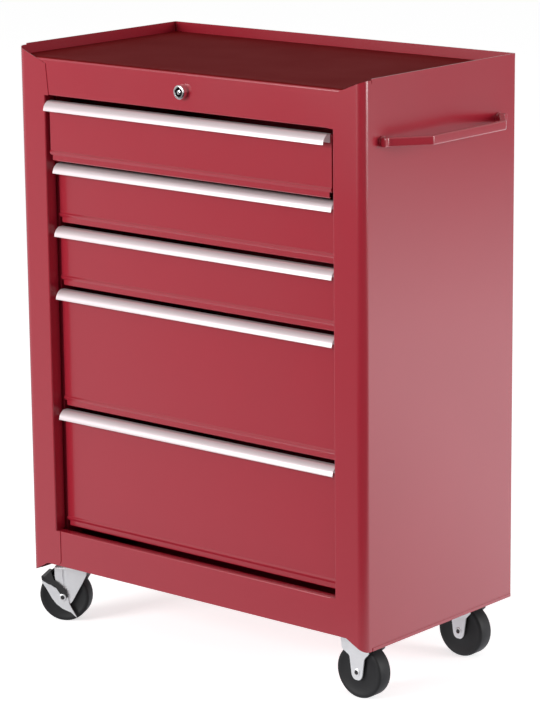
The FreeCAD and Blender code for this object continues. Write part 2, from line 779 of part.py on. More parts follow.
def drawer_pull(top):
    """Extruded pull: a leg against the face, a hook over its top and a bulged grip."""
    lip_y = PULL_Y
    lip_z = top - PULL_HEIGHT
    flat_y = FACE_Y - PULL_FLAT
    under = top - PULL_WALL

    def bulge(start, end, height):
        """An arc that stands a given height off its chord, towards the front."""
        chord = end - start
        aside = FreeCAD.Vector(0, chord.z, -chord.y).normalize()
        return Part.Arc(start, (start + end) / 2 + aside * height, end).toShape()

    points = [
        in_plane("yz", FACE_Y + PULL_HOOK, under),
        in_plane("yz", FACE_Y + PULL_HOOK, top),
        in_plane("yz", flat_y, top),
        in_plane("yz", lip_y, lip_z),
        in_plane("yz", lip_y + PULL_WALL, lip_z),
        in_plane("yz", flat_y, under),
        in_plane("yz", FACE_Y - PULL_WALL, under),
        in_plane("yz", FACE_Y - PULL_WALL, top - PULL_LEG),
        in_plane("yz", FACE_Y, top - PULL_LEG),
        in_plane("yz", FACE_Y, under),
    ]
    edges = []
    for index, start in enumerate(points):
        end = points[(index + 1) % len(points)]
        if index == 2:
            edges.append(bulge(start, end, PULL_BULGE))
        elif index == 4:
            edges.append(bulge(end, start, PULL_BULGE))
        else:
            edges.append(Part.makeLine(start, end))
    wire = Part.Wire(edges)
    wire.translate(RIGHT * -FRONT_HALF)
    return Part.Face(wire).extrude(RIGHT * 2 * FRONT_HALF)


def slide_profile(points, centre_z, y_span, sheet):
    """Right-hand slide section: places are outward from the drawer's side and up from its middle."""
    path = [(BOX_X + out, centre_z + up) for out, up in points]
    return bent_sheet(path, "xz", y_span, [0] * (len(points) - 2), sheet)


def outer_channel(centre_z):
    """Slide member on the uprights, whose lips keep the balls in."""
    half = SLIDE_HEIGHT / 2
    lip = half - OUTER_LIP
    points = [
        (LIP_SETBACK, -lip),
        (LIP_SETBACK, -half),
        (SLIDE_SPACE, -half),
        (SLIDE_SPACE, half),
        (LIP_SETBACK, half),
        (LIP_SETBACK, lip),
    ]
    return slide_profile(points, centre_z, (SLIDE_FRONT, BOX_BACK), SLIDE_SHEET)


def inner_member(centre_z):
    """Slide member on the drawer's side."""
    under = RACE_IN - SLIDE_SHEET
    lip = RACE_IN + INNER_LIP
    points = [
        (INNER_DEPTH, -lip),
        (INNER_DEPTH, -under),
        (SLIDE_SHEET, -under),
        (SLIDE_SHEET, under),
        (INNER_DEPTH, under),
        (INNER_DEPTH, lip),
    ]
    return slide_profile(points, centre_z, (SLIDE_FRONT, SLIDE_BACK), SLIDE_SHEET)


def slide_ball(x, y, z):
    """One ball, drawn with a few flats."""
    radius = BALL_DIAMETER / 2
    levels = [(BALL_FLAT * radius, -radius), (radius, 0), (BALL_FLAT * radius, radius)]
    rings = [Part.makePolygon(ring_points(HEX_SIDES, width, height)) for width, height in levels]
    ball = Part.makeLoft(rings, True, True)
    ball.translate(FreeCAD.Vector(x, y, z))
    return ball


def ball_cage(centre_z, centre_y):
    """Cage strip with pockets, and its balls."""
    y_span = (centre_y - CAGE_LENGTH / 2, centre_y + CAGE_LENGTH / 2)
    half = BALL_HEIGHT + CAGE_SHEET / 2
    gap = (SLIDE_SPACE - SLIDE_SHEET - INNER_DEPTH - CAGE_SHEET) / 2
    web = INNER_DEPTH + gap + CAGE_SHEET
    edge = LIP_SETBACK + SLIDE_SHEET + TOUCH_FREE
    points = [(edge, -half), (web, -half), (web, half), (edge, half)]
    strip = slide_profile(points, centre_z, y_span, CAGE_SHEET)
    pocket = BALL_DIAMETER / 2 + CAGE_POCKET
    x = BOX_X + BALL_PLACE
    balls = []
    pockets = []
    for side in (-1, 1):
        z = centre_z + side * BALL_HEIGHT
        for end in (-1, 1):
            y = centre_y + end * BALL_PLACE_Y
            balls.append(slide_ball(x, y, z))
            pockets.append(
                box((x - pocket, x + pocket), (y - pocket, y + pocket), (z - SHEET, z + SHEET))
            )
    return [cut_all(strip, pockets)] + balls


def drawers():
    """Five drawers with their slides; the top one stands ajar."""
    for index, (top, bottom, box_top, box_bottom) in enumerate(drawer_levels()):
        number = index + 1
        out = AJAR if index == 0 else 0
        slide_z = box_bottom + SLIDE_LIFT
        cage_y = (SLIDE_FRONT + SLIDE_BACK) / 2
        pieces = {
            "box": drawer_box(box_top, box_bottom),
            "front": [drawer_front(top, bottom)],
            "pull": [drawer_pull(top)],
            "runners": both_sides(inner_member(slide_z)),
        }
        for name, solids in pieces.items():
            for solid in solids:
                solid.translate(BACK * -out)
                add(f"drawer_{number}_{name}", solid)
        for solid in ball_cage(slide_z, cage_y - out / 2):
            add(f"slide_cage_{number}", *both_sides(solid))
        add("slide_channels", *both_sides(outer_channel(slide_z)))


# Lock


def along_y(radius, y_span, x=0.0, z=LOCK_Z):
    """A cylinder that lies front to back, on the lock's axis unless told otherwise."""
    return rod(radius, (x, y_span[0], z), BACK, y_span[1] - y_span[0])


def lock_barrel():
    """Threaded barrel with a round ring that stands in front of the rail."""
    face = RAIL_Y - LOCK_PROUD
    rear = RAIL_Y + LOCK_DEPTH
    ring = along_y(LOCK_RING, (face, RAIL_Y))
    ring = ring.makeChamfer(SHEET, [edge for edge in ring.Edges if edge.BoundBox.YMax < RAIL_Y - SHEET])
    thread = along_y(LOCK_THREAD, (RAIL_Y, rear))
    bore = along_y(PLUG_RADIUS + RUNNING, (face - SHEET, rear + SHEET))
    half = KEYWAY_WIDTH / 2
    low = LOCK_Z - PLUG_RADIUS - KEYWAY_DEPTH / 2
    keyway = box((-half, half), (face - SHEET, face + KEYWAY_DEPTH), (low, LOCK_Z))
    return cut_all(union([ring, thread]), [bore, keyway])


def lock_nut():
    """Nut that pulls the barrel against the rail from behind."""
    nut = faceted(HEX_SIDES, NUT_RADIUS, (0, RAIL_Y + SHEET, LOCK_Z), BACK, NUT_THICK)
    return cut_all(nut, [along_y(LOCK_THREAD, (RAIL_Y, RAIL_Y + SHEET + 2 * NUT_THICK))])


def lock_plug():
    """Turning plug: centre post in a ring groove, body, and a tail for the rod."""
    face = RAIL_Y - LOCK_PROUD + PLUG_RECESS
    rear = RAIL_Y + LOCK_DEPTH
    post = along_y(PLUG_POST, (face, face + PLUG_GROOVE))
    body = along_y(PLUG_RADIUS, (face + PLUG_GROOVE, rear))
    tail = along_y(ROD_RADIUS, (rear, rear + PLUG_TAIL))
    return union([post, body, tail])


def crank_pin_place():
    """Where the crank pin stands at rest, half way up on the right."""
    reach = CRANK_RADIUS / math.sqrt(2)
    return reach, LOCK_Z + reach


def lock_rod():
    """Rod from the plug to the rear, with a coupling sleeve and a crank."""
    front = RAIL_Y + LOCK_DEPTH + PLUG_TAIL
    rear = BAR_Y - CRANK_GAP
    arm_y = (rear - CRANK_THICK, rear)
    shaft = along_y(ROD_RADIUS, (front, rear))
    sleeve = along_y(SLEEVE_RADIUS, (front - PLUG_TAIL + SHEET, front + SLEEVE_LENGTH / 2))
    socket = along_y(ROD_RADIUS, (front - PLUG_TAIL, front))
    pin_x, pin_z = crank_pin_place()
    half = CRANK_WIDTH / 2
    arm = box((0, CRANK_RADIUS), arm_y, (-half, half))
    arm.rotate(ORIGIN, BACK, -45)
    arm.translate(UP * LOCK_Z)
    hub = along_y(half, arm_y)
    end = along_y(half, arm_y, pin_x, pin_z)
    pin = along_y(CRANK_PIN, (rear, BAR_Y + BAR_THICK + CRANK_GAP), pin_x, pin_z)
    return cut_all(union([shaft, sleeve, arm, hub, end, pin]), [socket])


def lock_bar():
    """Vertical bar with a slot for the crank pin, and a hook welded to it for each drawer's rear wall."""
    half = BAR_WIDTH / 2
    y_span = (BAR_Y, BAR_Y + BAR_THICK)
    levels = drawer_levels()
    lift = HOOK_ABOVE + BAR_DROP
    pin_x, pin_z = crank_pin_place()
    top = pin_z + BAR_HEAD
    bottom = levels[-1][2] + lift - HOOK_TOOTH
    strip = box((-half, half), y_span, (bottom, top))
    hooks = []
    tooth_back = BOX_BACK - BOX_SHEET - TOOTH_GAP
    for level in levels:
        under = level[2] + lift
        hook_x = (-HOOK_WIDTH / 2, HOOK_WIDTH / 2)
        tooth_y = (tooth_back - BAR_THICK, tooth_back)
        arm = box(hook_x, (tooth_y[0], BAR_Y), (under, under + BAR_THICK))
        tooth = box(hook_x, tooth_y, (under - HOOK_TOOTH, under))
        hooks.append(union([arm, tooth]))
    slot_half = CRANK_PIN + PIN_PLAY
    slot_x = (pin_x - slot_half, CRANK_RADIUS + slot_half)
    slot = box(slot_x, (BAR_Y - SHEET, BAR_Y + 2 * BAR_THICK), (pin_z - slot_half, pin_z + slot_half))
    return [cut_all(strip, [slot])] + hooks


def bar_guide(drop):
    """Moulded block on the back panel, with a slot that the lock bar runs in."""
    top = RIM_Z - drop
    z_span = (top - GUIDE_HEIGHT, top)
    half = BAR_WIDTH / 2 + TOUCH_FREE
    block = box(
        (-half - GUIDE_WALL, half + GUIDE_WALL),
        (BAR_Y - BAR_THICK - TOUCH_FREE, BACK_INSIDE),
        z_span,
    )
    slot_y = (BAR_Y - TOUCH_FREE, BAR_Y + BAR_THICK + TOUCH_FREE)
    slot = box((-half, half), slot_y, (z_span[0] - SHEET, z_span[1] + SHEET))
    return block.cut(slot)


def rod_bracket():
    """Angle under the tray that carries the rod's rear end."""
    front = BOX_BACK - BRACKET_SETBACK
    half = BRACKET_WIDTH / 2
    top = TRAY_Z - SHEET
    path = [
        (front + BRACKET_FOOT, top),
        (front, top),
        (front, LOCK_Z - BRACKET_SETBACK),
    ]
    plate = bent_sheet(path, "yz", (-half, half), [BEND])
    return cut_all(plate, [along_y(ROD_RADIUS + RUNNING, (front - SHEET, front + 3 * SHEET))])


def lock():
    """Lock, rod, crank, bar and what carries them."""
    add("lock_barrel", lock_barrel())
    add("lock_nut", lock_nut())
    add("lock_plug", lock_plug())
    add("lock_rod", lock_rod())
    add("lock_bar", *lock_bar())
    add("lock_bar_guides", *[bar_guide(drop) for drop in GUIDE_DROPS])
    add("lock_rod_bracket", rod_bracket())


# Casters, each drawn with its wheel rolling along +X and its axle along Y


def stand(solid, x, y, yaw):
    """A caster piece turned about its swivel axis and moved to its corner."""
    solid = solid.copy()
    solid.rotate(ORIGIN, UP, yaw)
    solid.translate(FreeCAD.Vector(x, y, 0))
    return solid


def caster_wheel(trail):
    """Moulded wheel with dished sides and a hub that runs on the axle."""
    hub_half = WHEEL_HUB_LENGTH / 2
    half = WHEEL_WIDTH / 2
    dish = half - WHEEL_DISH
    tread = WHEEL_RADIUS - TYRE_EDGE
    bore = AXLE_RADIUS + AXLE_PLAY
    side = [
        (bore, hub_half),
        (WHEEL_HUB, hub_half),
        (WHEEL_HUB, dish),
        (tread, half),
        (WHEEL_RADIUS, half - TYRE_EDGE),
    ]
    profile = side + [(radius, -along) for radius, along in side[::-1]]
    points = [FreeCAD.Vector(radius, along, 0) for radius, along in profile]
    outline = Part.makePolygon(points + points[:1])
    wheel = Part.Face(outline).revolve(ORIGIN, BACK, 360)
    wheel.translate(FreeCAD.Vector(trail, 0, AXLE_Z))
    return wheel


def fork(top, outline, axle_x):
    """Folded fork with joggled legs, cut to an outline seen from the side."""
    low = AXLE_Z - FORK_END_RADIUS
    joggle = AXLE_Z + FORK_JOGGLE_UP
    spread = LEG_OUT + FORK_TOP_SPREAD
    path = [
        (LEG_OUT, low),
        (LEG_OUT, joggle),
        (spread, joggle + FORK_JOGGLE),
        (spread, top),
        (-spread, top),
        (-spread, joggle + FORK_JOGGLE),
        (-LEG_OUT, joggle),
        (-LEG_OUT, low),
    ]
    ends = [x for x, z in outline]
    bends = [0, 0, BEND, BEND, 0, 0]
    folded = bent_sheet(path, "yz", (min(ends), max(ends)), bends, FORK_SHEET)
    round_end = FORK_END_RADIUS - TOUCH_FREE
    radii = [round_end if z == low else 0 for x, z in outline]
    blank = prism(outline, "xz", (-spread - SHEET, spread + SHEET), radii)
    return cut_all(folded.common(blank).Solids[0], [axle_hole(axle_x, spread)])


def axle_hole(trail, reach):
    """Hole for the axle through both legs."""
    start = (trail, -reach - SHEET, AXLE_Z)
    return rod(AXLE_RADIUS, start, BACK, 2 * reach + 2 * SHEET)


def axle(trail, outside):
    """Axle with a low riveted head at each end."""
    shank = rod(AXLE_RADIUS, (trail, -outside, AXLE_Z), BACK, 2 * outside)
    heads = []
    for end in (-1, 1):
        start = (trail, end * outside, AXLE_Z)
        heads.append(faceted(RIVET_SIDES, AXLE_HEAD_RADIUS, start, BACK * end, AXLE_HEAD_HEIGHT))
    return union([shank] + heads)


def top_plate():
    """Mounting plate with its four bolt holes."""
    half_x = PLATE_LENGTH / 2
    half_y = PLATE_WIDTH / 2
    outline = [(-half_x, -half_y), (half_x, -half_y), (half_x, half_y), (-half_x, half_y)]
    plate = prism(outline, "xy", (FORK_TOP, CASTER_HEIGHT))
    corners = [edge for edge in plate.Edges if edge.BoundBox.ZLength > SHEET]
    plate = plate.makeChamfer(PLATE_CORNER, corners)
    return cut_all(plate, bolt_holes(0, 0))


def swivel_plate():
    """Plate with the upper race and the kingpin that the swivel fork hangs on."""
    race = rod(RACE_RADIUS, (0, 0, FORK_TOP - RACE_HEIGHT), UP, RACE_HEIGHT)
    low = CROWN_TOP - FORK_SHEET - RACE_GAP
    pin = rod(KINGPIN_RADIUS, (0, 0, low), UP, FORK_TOP - low)
    head = rod(KINGPIN_HEAD, (0, 0, low - KINGPIN_HEAD_HEIGHT), UP, KINGPIN_HEAD_HEIGHT)
    return union([top_plate(), race, pin, head])


def fork_flutes():
    """The pressed grooves down the outside of a swivel fork's legs."""
    middle = SWIVEL_TRAIL - FORK_FLUTE_FRONT
    x_span = (middle - FORK_FLUTE_WIDTH / 2, middle + FORK_FLUTE_WIDTH / 2)
    low = AXLE_Z + FORK_FLUTE_UP
    joggle = AXLE_Z + FORK_JOGGLE_UP
    bottom = LEG_OUT - FORK_FLUTE_DEPTH
    far = bottom + FORK_TOP_SPREAD
    outline = [
        (bottom, low),
        (bottom, joggle),
        (far, joggle + FORK_JOGGLE),
        (far, CROWN_TOP - 2 * FORK_SHEET),
        (far + FORK_SHEET, CROWN_TOP - 2 * FORK_SHEET),
        (far + FORK_SHEET, low),
    ]
    flute = prism(outline, "yz", x_span)
    return [flute, flute.mirror(ORIGIN, BACK)]


def swivel_fork():
    """Turning fork with trailing legs, and the lower race on its crown."""
    low = AXLE_Z - FORK_END_RADIUS
    rear = SWIVEL_TRAIL + FORK_END_RADIUS
    outline = [
        (-FORK_FRONT, CROWN_TOP),
        (-FORK_FRONT, AXLE_Z + FORK_SHOULDER_UP),
        (SWIVEL_TRAIL - FORK_END_RADIUS, low),
        (rear, low),
        (rear, CROWN_TOP),
    ]
    race = rod(RACE_RADIUS, (0, 0, CROWN_TOP), UP, RACE_HEIGHT)
    hole = rod(KINGPIN_RADIUS + KINGPIN_PLAY, (0, 0, AXLE_Z), UP, CASTER_HEIGHT)
    body = union([fork(CROWN_TOP, outline, SWIVEL_TRAIL), race])
    return cut_all(body, [hole] + fork_flutes())


def rigid_fork():
    """Fixed fork welded under its plate, flared out below the bolt heads."""
    low = AXLE_Z - FORK_END_RADIUS
    neck = FORK_TOP - BOLT_HEAD_HEIGHT - SHEET
    front = [(-FORK_FRONT, FORK_TOP), (-FORK_FRONT, neck)]
    front += [(-x, AXLE_Z + up) for x, up in RIGID_FLARE] + [(-FORK_END_RADIUS, low)]
    outline = front + [(-x, z) for x, z in front[::-1]]
    return union([fork(FORK_TOP, outline, 0), top_plate()])


def on_wheel(outline):
    """Places given as fractions of the wheel's radius about the axle."""
    return [(SWIVEL_TRAIL + WHEEL_RADIUS * u, AXLE_Z + WHEEL_RADIUS * v) for u, v in outline]


def both_legs(outline, near, far, hole_radius, radii=None):
    """A flat plate outside each leg of a fork, with a hole round the axle."""
    plates = []
    for span in ((near, far), (-far, -near)):
        plate = prism(on_wheel(outline), "xz", span, radii)
        hole = rod(hole_radius, (SWIVEL_TRAIL, span[0] - SHEET, AXLE_Z), BACK, 3 * SHEET + far - near)
        plates.append(cut_all(plate, [hole]))
    return plates


def brake_lever():
    """Two pointed leaves that swing on the axle."""
    radii = [0] + [LEAF_ROUND] * 5 + [0] + [LEAF_ROUND] * 5 + [0]
    return both_legs(LEAF, BRAKE_IN, BRAKE_OUT, AXLE_RADIUS + AXLE_PLAY, radii)


def brake_pedal():
    """Black pedal over the tread, welded between two cheeks that lie on the leaves."""
    notch = AXLE_HEAD_RADIUS + TOUCH_FREE
    half = CHEEK_OUT
    plate = bent_sheet(on_wheel(PEDAL), "xz", (-half, half), [BEND], PEDAL_SHEET)
    cheeks = both_legs(CHEEK, BRAKE_OUT, CHEEK_OUT, notch)
    return [plate] + [cheek.cut(plate) for cheek in cheeks]


def caster_bolts(x, y):
    """Bolts and nuts that hold one caster under the base pan."""
    solids = []
    for u, v in plate_bolt_places(x, y):
        low = FORK_TOP - BOLT_HEAD_HEIGHT
        top = CASTER_HEIGHT + SHEET
        head = faceted(HEX_SIDES, BOLT_HEAD_RADIUS, (u, v, low), UP, BOLT_HEAD_HEIGHT)
        nut = faceted(HEX_SIDES, BOLT_HEAD_RADIUS, (u, v, top), UP, BOLT_HEAD_HEIGHT)
        shank = faceted(SHANK_SIDES, BOLT_RADIUS, (u, v, low), UP, top - low)
        solids.append(union([head, shank, nut]))
    return solids


def casters():
    """Two braked swivel casters on the left and two rigid casters on the right."""
    for name, x, y in caster_centres():
        add("caster_bolts", *caster_bolts(x, y))
        if x < 0:
            yaw = SWIVEL_YAW
            add("swivel_plates", stand(swivel_plate(), x, y, 0))
            add(f"swivel_fork_{name}", stand(swivel_fork(), x, y, yaw))
            add(f"swivel_axle_{name}", stand(axle(SWIVEL_TRAIL, BRAKE_OUT + RACE_GAP), x, y, yaw))
            add(f"wheel_{name}", stand(caster_wheel(SWIVEL_TRAIL), x, y, yaw))
            add(f"brake_lever_{name}", *[stand(piece, x, y, yaw) for piece in brake_lever()])
            add(f"brake_pedal_{name}", *[stand(piece, x, y, yaw) for piece in brake_pedal()])
        else:
            add("rigid_forks", stand(rigid_fork(), x, y, 0))
            add("rigid_axles", stand(axle(0, LEG_OUT), x, y, 0))
            add(f"wheel_{name}", stand(caster_wheel(0), x, y, 0))


def footprint_shift(solids):
    """The move that puts the middle of the whole part's footprint at the origin."""
    bounds = Part.makeCompound(solids).optimalBoundingBox()
    return FreeCAD.Vector(-bounds.Center.x, -bounds.Center.y, 0)


carcass()
panel_screws()
handle()
drawers()
lock()
casters()

EVERYTHING = [solid for solids in NODES.values() for solid in solids]
SHIFT = footprint_shift(EVERYTHING)
os.makedirs("parts", exist_ok=True)
for node, solids in NODES.items():
    for solid in solids:
        solid.translate(SHIFT)
    shape = solids[0] if len(solids) == 1 else Part.makeCompound(solids)
    shape.exportStep(f"parts/{node}.step")
    print(node, len(solids), round(shape.Volume / 1000, 2), shape.isValid())
print("shift", SHIFT, "rim", RIM_Z, "nodes", len(NODES))
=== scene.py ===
# %% [markdown]
# # A rolling tool cabinet
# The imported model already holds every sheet, slide, caster and screw in its place. This lesson
# gives each of them its looks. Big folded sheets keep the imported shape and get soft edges. The
# pieces that the eye goes to, such as the pulls, the push handle, the lock and the wheels, are
# modelled again with more detail. Everything is in metres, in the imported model's own frame.

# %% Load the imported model
import json
import math

import bpy
from mathutils import Matrix, Vector

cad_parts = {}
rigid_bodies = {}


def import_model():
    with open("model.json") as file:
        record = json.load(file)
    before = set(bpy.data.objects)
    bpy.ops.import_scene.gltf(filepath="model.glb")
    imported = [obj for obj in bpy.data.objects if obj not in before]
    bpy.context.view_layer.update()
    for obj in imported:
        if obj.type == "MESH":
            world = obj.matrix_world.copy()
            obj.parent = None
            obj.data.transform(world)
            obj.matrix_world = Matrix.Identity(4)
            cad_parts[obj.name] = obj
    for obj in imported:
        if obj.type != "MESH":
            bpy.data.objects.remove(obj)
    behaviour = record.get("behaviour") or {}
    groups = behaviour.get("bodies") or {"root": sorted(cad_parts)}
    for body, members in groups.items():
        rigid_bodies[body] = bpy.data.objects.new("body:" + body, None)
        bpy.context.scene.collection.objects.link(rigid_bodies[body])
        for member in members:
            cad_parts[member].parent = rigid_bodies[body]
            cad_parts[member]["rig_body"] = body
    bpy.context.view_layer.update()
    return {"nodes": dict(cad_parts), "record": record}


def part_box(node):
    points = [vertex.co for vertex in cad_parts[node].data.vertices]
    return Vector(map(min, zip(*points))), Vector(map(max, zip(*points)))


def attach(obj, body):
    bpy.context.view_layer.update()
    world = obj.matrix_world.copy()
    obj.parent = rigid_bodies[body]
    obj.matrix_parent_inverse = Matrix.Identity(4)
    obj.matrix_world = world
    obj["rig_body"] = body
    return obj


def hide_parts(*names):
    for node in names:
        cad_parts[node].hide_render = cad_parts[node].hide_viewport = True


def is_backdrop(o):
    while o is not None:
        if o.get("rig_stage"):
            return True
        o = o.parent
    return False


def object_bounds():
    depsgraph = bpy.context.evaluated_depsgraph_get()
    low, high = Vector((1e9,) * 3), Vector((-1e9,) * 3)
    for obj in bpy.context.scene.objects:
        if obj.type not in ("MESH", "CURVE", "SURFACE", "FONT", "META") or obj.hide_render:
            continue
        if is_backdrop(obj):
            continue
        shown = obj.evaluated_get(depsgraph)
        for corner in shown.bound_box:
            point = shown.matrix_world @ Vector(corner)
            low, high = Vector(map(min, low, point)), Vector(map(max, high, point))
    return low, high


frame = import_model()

MM = 0.001

# %% [markdown]
# ## The camera
# A product photograph like this one is taken from a few metres away with a long lens, so the
# cabinet's edges stay nearly parallel. The camera stands in front of the cabinet and to its
# right, and looks down a little. The small shift slides the picture in its frame without turning
# the camera.

# %% Camera
SENSOR_MM = 36.0
FOCAL_PIXELS = 3067.4
LONG_SIDE_PIXELS = 719
CAMERA_PLACE = Vector((2.7092, -3.1818, 1.3848))
CAMERA_YAW = math.radians(40.547)
CAMERA_PITCH = math.radians(13.474)
CAMERA_ROLL = math.radians(-0.609)
CAMERA_SHIFT = (0.0059, 0.0254)


def turn(angle, axis):
    """A rotation about one of the row's axes."""
    return Matrix.Rotation(angle, 4, axis)


lens = bpy.data.cameras.new("photo_lens")
lens.sensor_width = SENSOR_MM
lens.lens = FOCAL_PIXELS / LONG_SIDE_PIXELS * SENSOR_MM
lens.shift_x, lens.shift_y = CAMERA_SHIFT
camera = bpy.data.objects.new("photo_camera", lens)
bpy.context.scene.collection.objects.link(camera)
look_down = turn(math.pi / 2 - CAMERA_PITCH, "X")
camera.matrix_world = (
    Matrix.Translation(CAMERA_PLACE)
    @ turn(CAMERA_YAW, "Z")
    @ look_down
    @ turn(CAMERA_ROLL, "Z")
)
bpy.context.scene.camera = camera
print("lens:", round(lens.lens, 1), "mm")

# %% [markdown]
# ## Small helpers for working by hand
# Blender's tools act on whatever is selected, so every step starts by selecting nothing. A mode
# switch, a choice of faces and a finished modifier are needed again and again, and each of them
# is one short function here.

# %% Helpers for selecting
def select_only(*pieces):
    """Leave edit mode and make these pieces the selection, with the first one active."""
    if bpy.context.object and bpy.context.object.mode != "OBJECT":
        bpy.ops.object.mode_set(mode="OBJECT")
    bpy.ops.object.select_all(action="DESELECT")
    for piece in pieces:
        piece.select_set(True)
    if pieces:
        bpy.context.view_layer.objects.active = pieces[0]


def edit(piece, level="FACE"):
    """Start editing one piece with nothing in it selected."""
    select_only(piece)
    bpy.ops.object.mode_set(mode="EDIT")
    bpy.ops.mesh.select_mode(type=level)
    bpy.ops.mesh.select_all(action="DESELECT")


def apply_modifier(piece, kind, **settings):
    """Add a modifier, set it up and make its result the piece's own mesh."""
    select_only(piece)
    modifier = piece.modifiers.new(kind.title(), kind)
    for name, value in settings.items():
        setattr(modifier, name, value)
    bpy.ops.object.modifier_apply(modifier=modifier.name)


# %% [markdown]
# ## Shader groups that several finishes share
# Real surfaces are never one even colour. A group puts a small change of tone and shine over a
# surface, and each material gives it its own scale and strength. The fine texture of a surface
# is a height that goes into a Bump node, and it reads Object coordinates so it stays put.

# %% Shader groups
MOTTLE_DETAIL = 4.0


def new_group(name, inputs, outputs):
    """An empty shader group with named sockets, and its input and output nodes."""
    group = bpy.data.node_groups.new(name, "ShaderNodeTree")
    for label, kind, value in inputs:
        socket = group.interface.new_socket(name=label, in_out="INPUT", socket_type=kind)
        socket.default_value = value
    for label, kind in outputs:
        group.interface.new_socket(name=label, in_out="OUTPUT", socket_type=kind)
    entry = group.nodes.new("NodeGroupInput")
    way_out = group.nodes.new("NodeGroupOutput")
    return group, entry, way_out


def mottle_group():
    """Slow changes of tone and shine over a surface."""
    group, entry, way_out = new_group(
        "Mottle",
        [
            ("Colour", "NodeSocketColor", (0.5, 0.5, 0.5, 1)),
            ("Dark", "NodeSocketColor", (0.4, 0.4, 0.4, 1)),
            ("Scale", "NodeSocketFloat", 6.0),
            ("Smooth", "NodeSocketFloat", 0.3),
            ("Rough", "NodeSocketFloat", 0.4),
        ],
        [("Colour", "NodeSocketColor"), ("Roughness", "NodeSocketFloat")],
    )
    link = group.links.new
    place = group.nodes.new("ShaderNodeTexCoord")
    noise = group.nodes.new("ShaderNodeTexNoise")
    noise.inputs["Detail"].default_value = MOTTLE_DETAIL
    tone = group.nodes.new("ShaderNodeMix")
    tone.data_type = "RGBA"
    shine = group.nodes.new("ShaderNodeMapRange")
    link(place.outputs["Object"], noise.inputs["Vector"])
    link(entry.outputs["Scale"], noise.inputs["Scale"])
    link(noise.outputs["Fac"], tone.inputs["Factor"])
    link(entry.outputs["Colour"], tone.inputs["A"])
    link(entry.outputs["Dark"], tone.inputs["B"])
    link(noise.outputs["Fac"], shine.inputs["Value"])
    link(entry.outputs["Smooth"], shine.inputs["To Min"])
    link(entry.outputs["Rough"], shine.inputs["To Max"])
    link(tone.outputs["Result"], way_out.inputs["Colour"])
    link(shine.outputs["Result"], way_out.inputs["Roughness"])
    return group


def grain_group():
    """Fine texture. Unequal scales along the axes stretch it into drawn or rolled lines."""
    group, entry, way_out = new_group(
        "Grain",
        [
            ("Stretch", "NodeSocketVector", (1, 1, 1)),
            ("Scale", "NodeSocketFloat", 900.0),
            ("Detail", "NodeSocketFloat", 3.0),
        ],
        [("Height", "NodeSocketFloat")],
    )
    link = group.links.new
    place = group.nodes.new("ShaderNodeTexCoord")
    stretch = group.nodes.new("ShaderNodeVectorMath")
    stretch.operation = "MULTIPLY"
    noise = group.nodes.new("ShaderNodeTexNoise")
    link(place.outputs["Object"], stretch.inputs[0])
    link(entry.outputs["Stretch"], stretch.inputs[1])
    link(stretch.outputs["Vector"], noise.inputs["Vector"])
    link(entry.outputs["Scale"], noise.inputs["Scale"])
    link(entry.outputs["Detail"], noise.inputs["Detail"])
    link(noise.outputs["Fac"], way_out.inputs["Height"])
    return group


MOTTLE = mottle_group()
GRAIN = grain_group()
print("groups:", MOTTLE.name, GRAIN.name)

# %% [markdown]
# ## Finishes
# One function builds a finish from its colours, its range of shine and its fine texture. The
# numbers that are the same all over a surface are set on the shader's own sockets.

# %% Finish builder
BUMP_STRENGTH = 0.5


def finish(name, colour, dark, shine, grain, mottle_scale=6.0, **shader_values):
    """A material: two tones, a range of roughness, and grain as (stretch, scale, depth in mm)."""
    material = bpy.data.materials.new(name)
    material.use_nodes = True
    nodes = material.node_tree.nodes
    link = material.node_tree.links.new
    shader = nodes["Principled BSDF"]
    mottle = nodes.new("ShaderNodeGroup")
    mottle.node_tree = MOTTLE
    mottle.inputs["Colour"].default_value = (*colour, 1)
    mottle.inputs["Dark"].default_value = (*dark, 1)
    mottle.inputs["Scale"].default_value = mottle_scale
    mottle.inputs["Smooth"].default_value = shine[0]
    mottle.inputs["Rough"].default_value = shine[1]
    stretch, scale, depth = grain
    texture = nodes.new("ShaderNodeGroup")
    texture.node_tree = GRAIN
    texture.inputs["Stretch"].default_value = stretch
    texture.inputs["Scale"].default_value = scale
    bump = nodes.new("ShaderNodeBump")
    bump.inputs["Distance"].default_value = depth * MM
    bump.inputs["Strength"].default_value = BUMP_STRENGTH
    link(mottle.outputs["Colour"], shader.inputs["Base Color"])
    link(mottle.outputs["Roughness"], shader.inputs["Roughness"])
    link(texture.outputs["Height"], bump.inputs["Height"])
    link(bump.outputs["Normal"], shader.inputs["Normal"])
    for socket, value in shader_values.items():
        shader.inputs[socket.replace("_", " ")].default_value = value
    material.diffuse_color = (*colour, 1)
    return material


# %% [markdown]
# The cabinet is powder coated in a deep red with a hard gloss. Powder flows out as it bakes, and
# it leaves a faint orange peel, a waviness a few millimetres across that a lamp's reflection
# shows. The pulls are drawn aluminium with a satin anodised skin, so their lines run lengthwise.
# Forks, plates and bolts are bright zinc plate, and the slides are plainer. Wheels are moulded
# black.

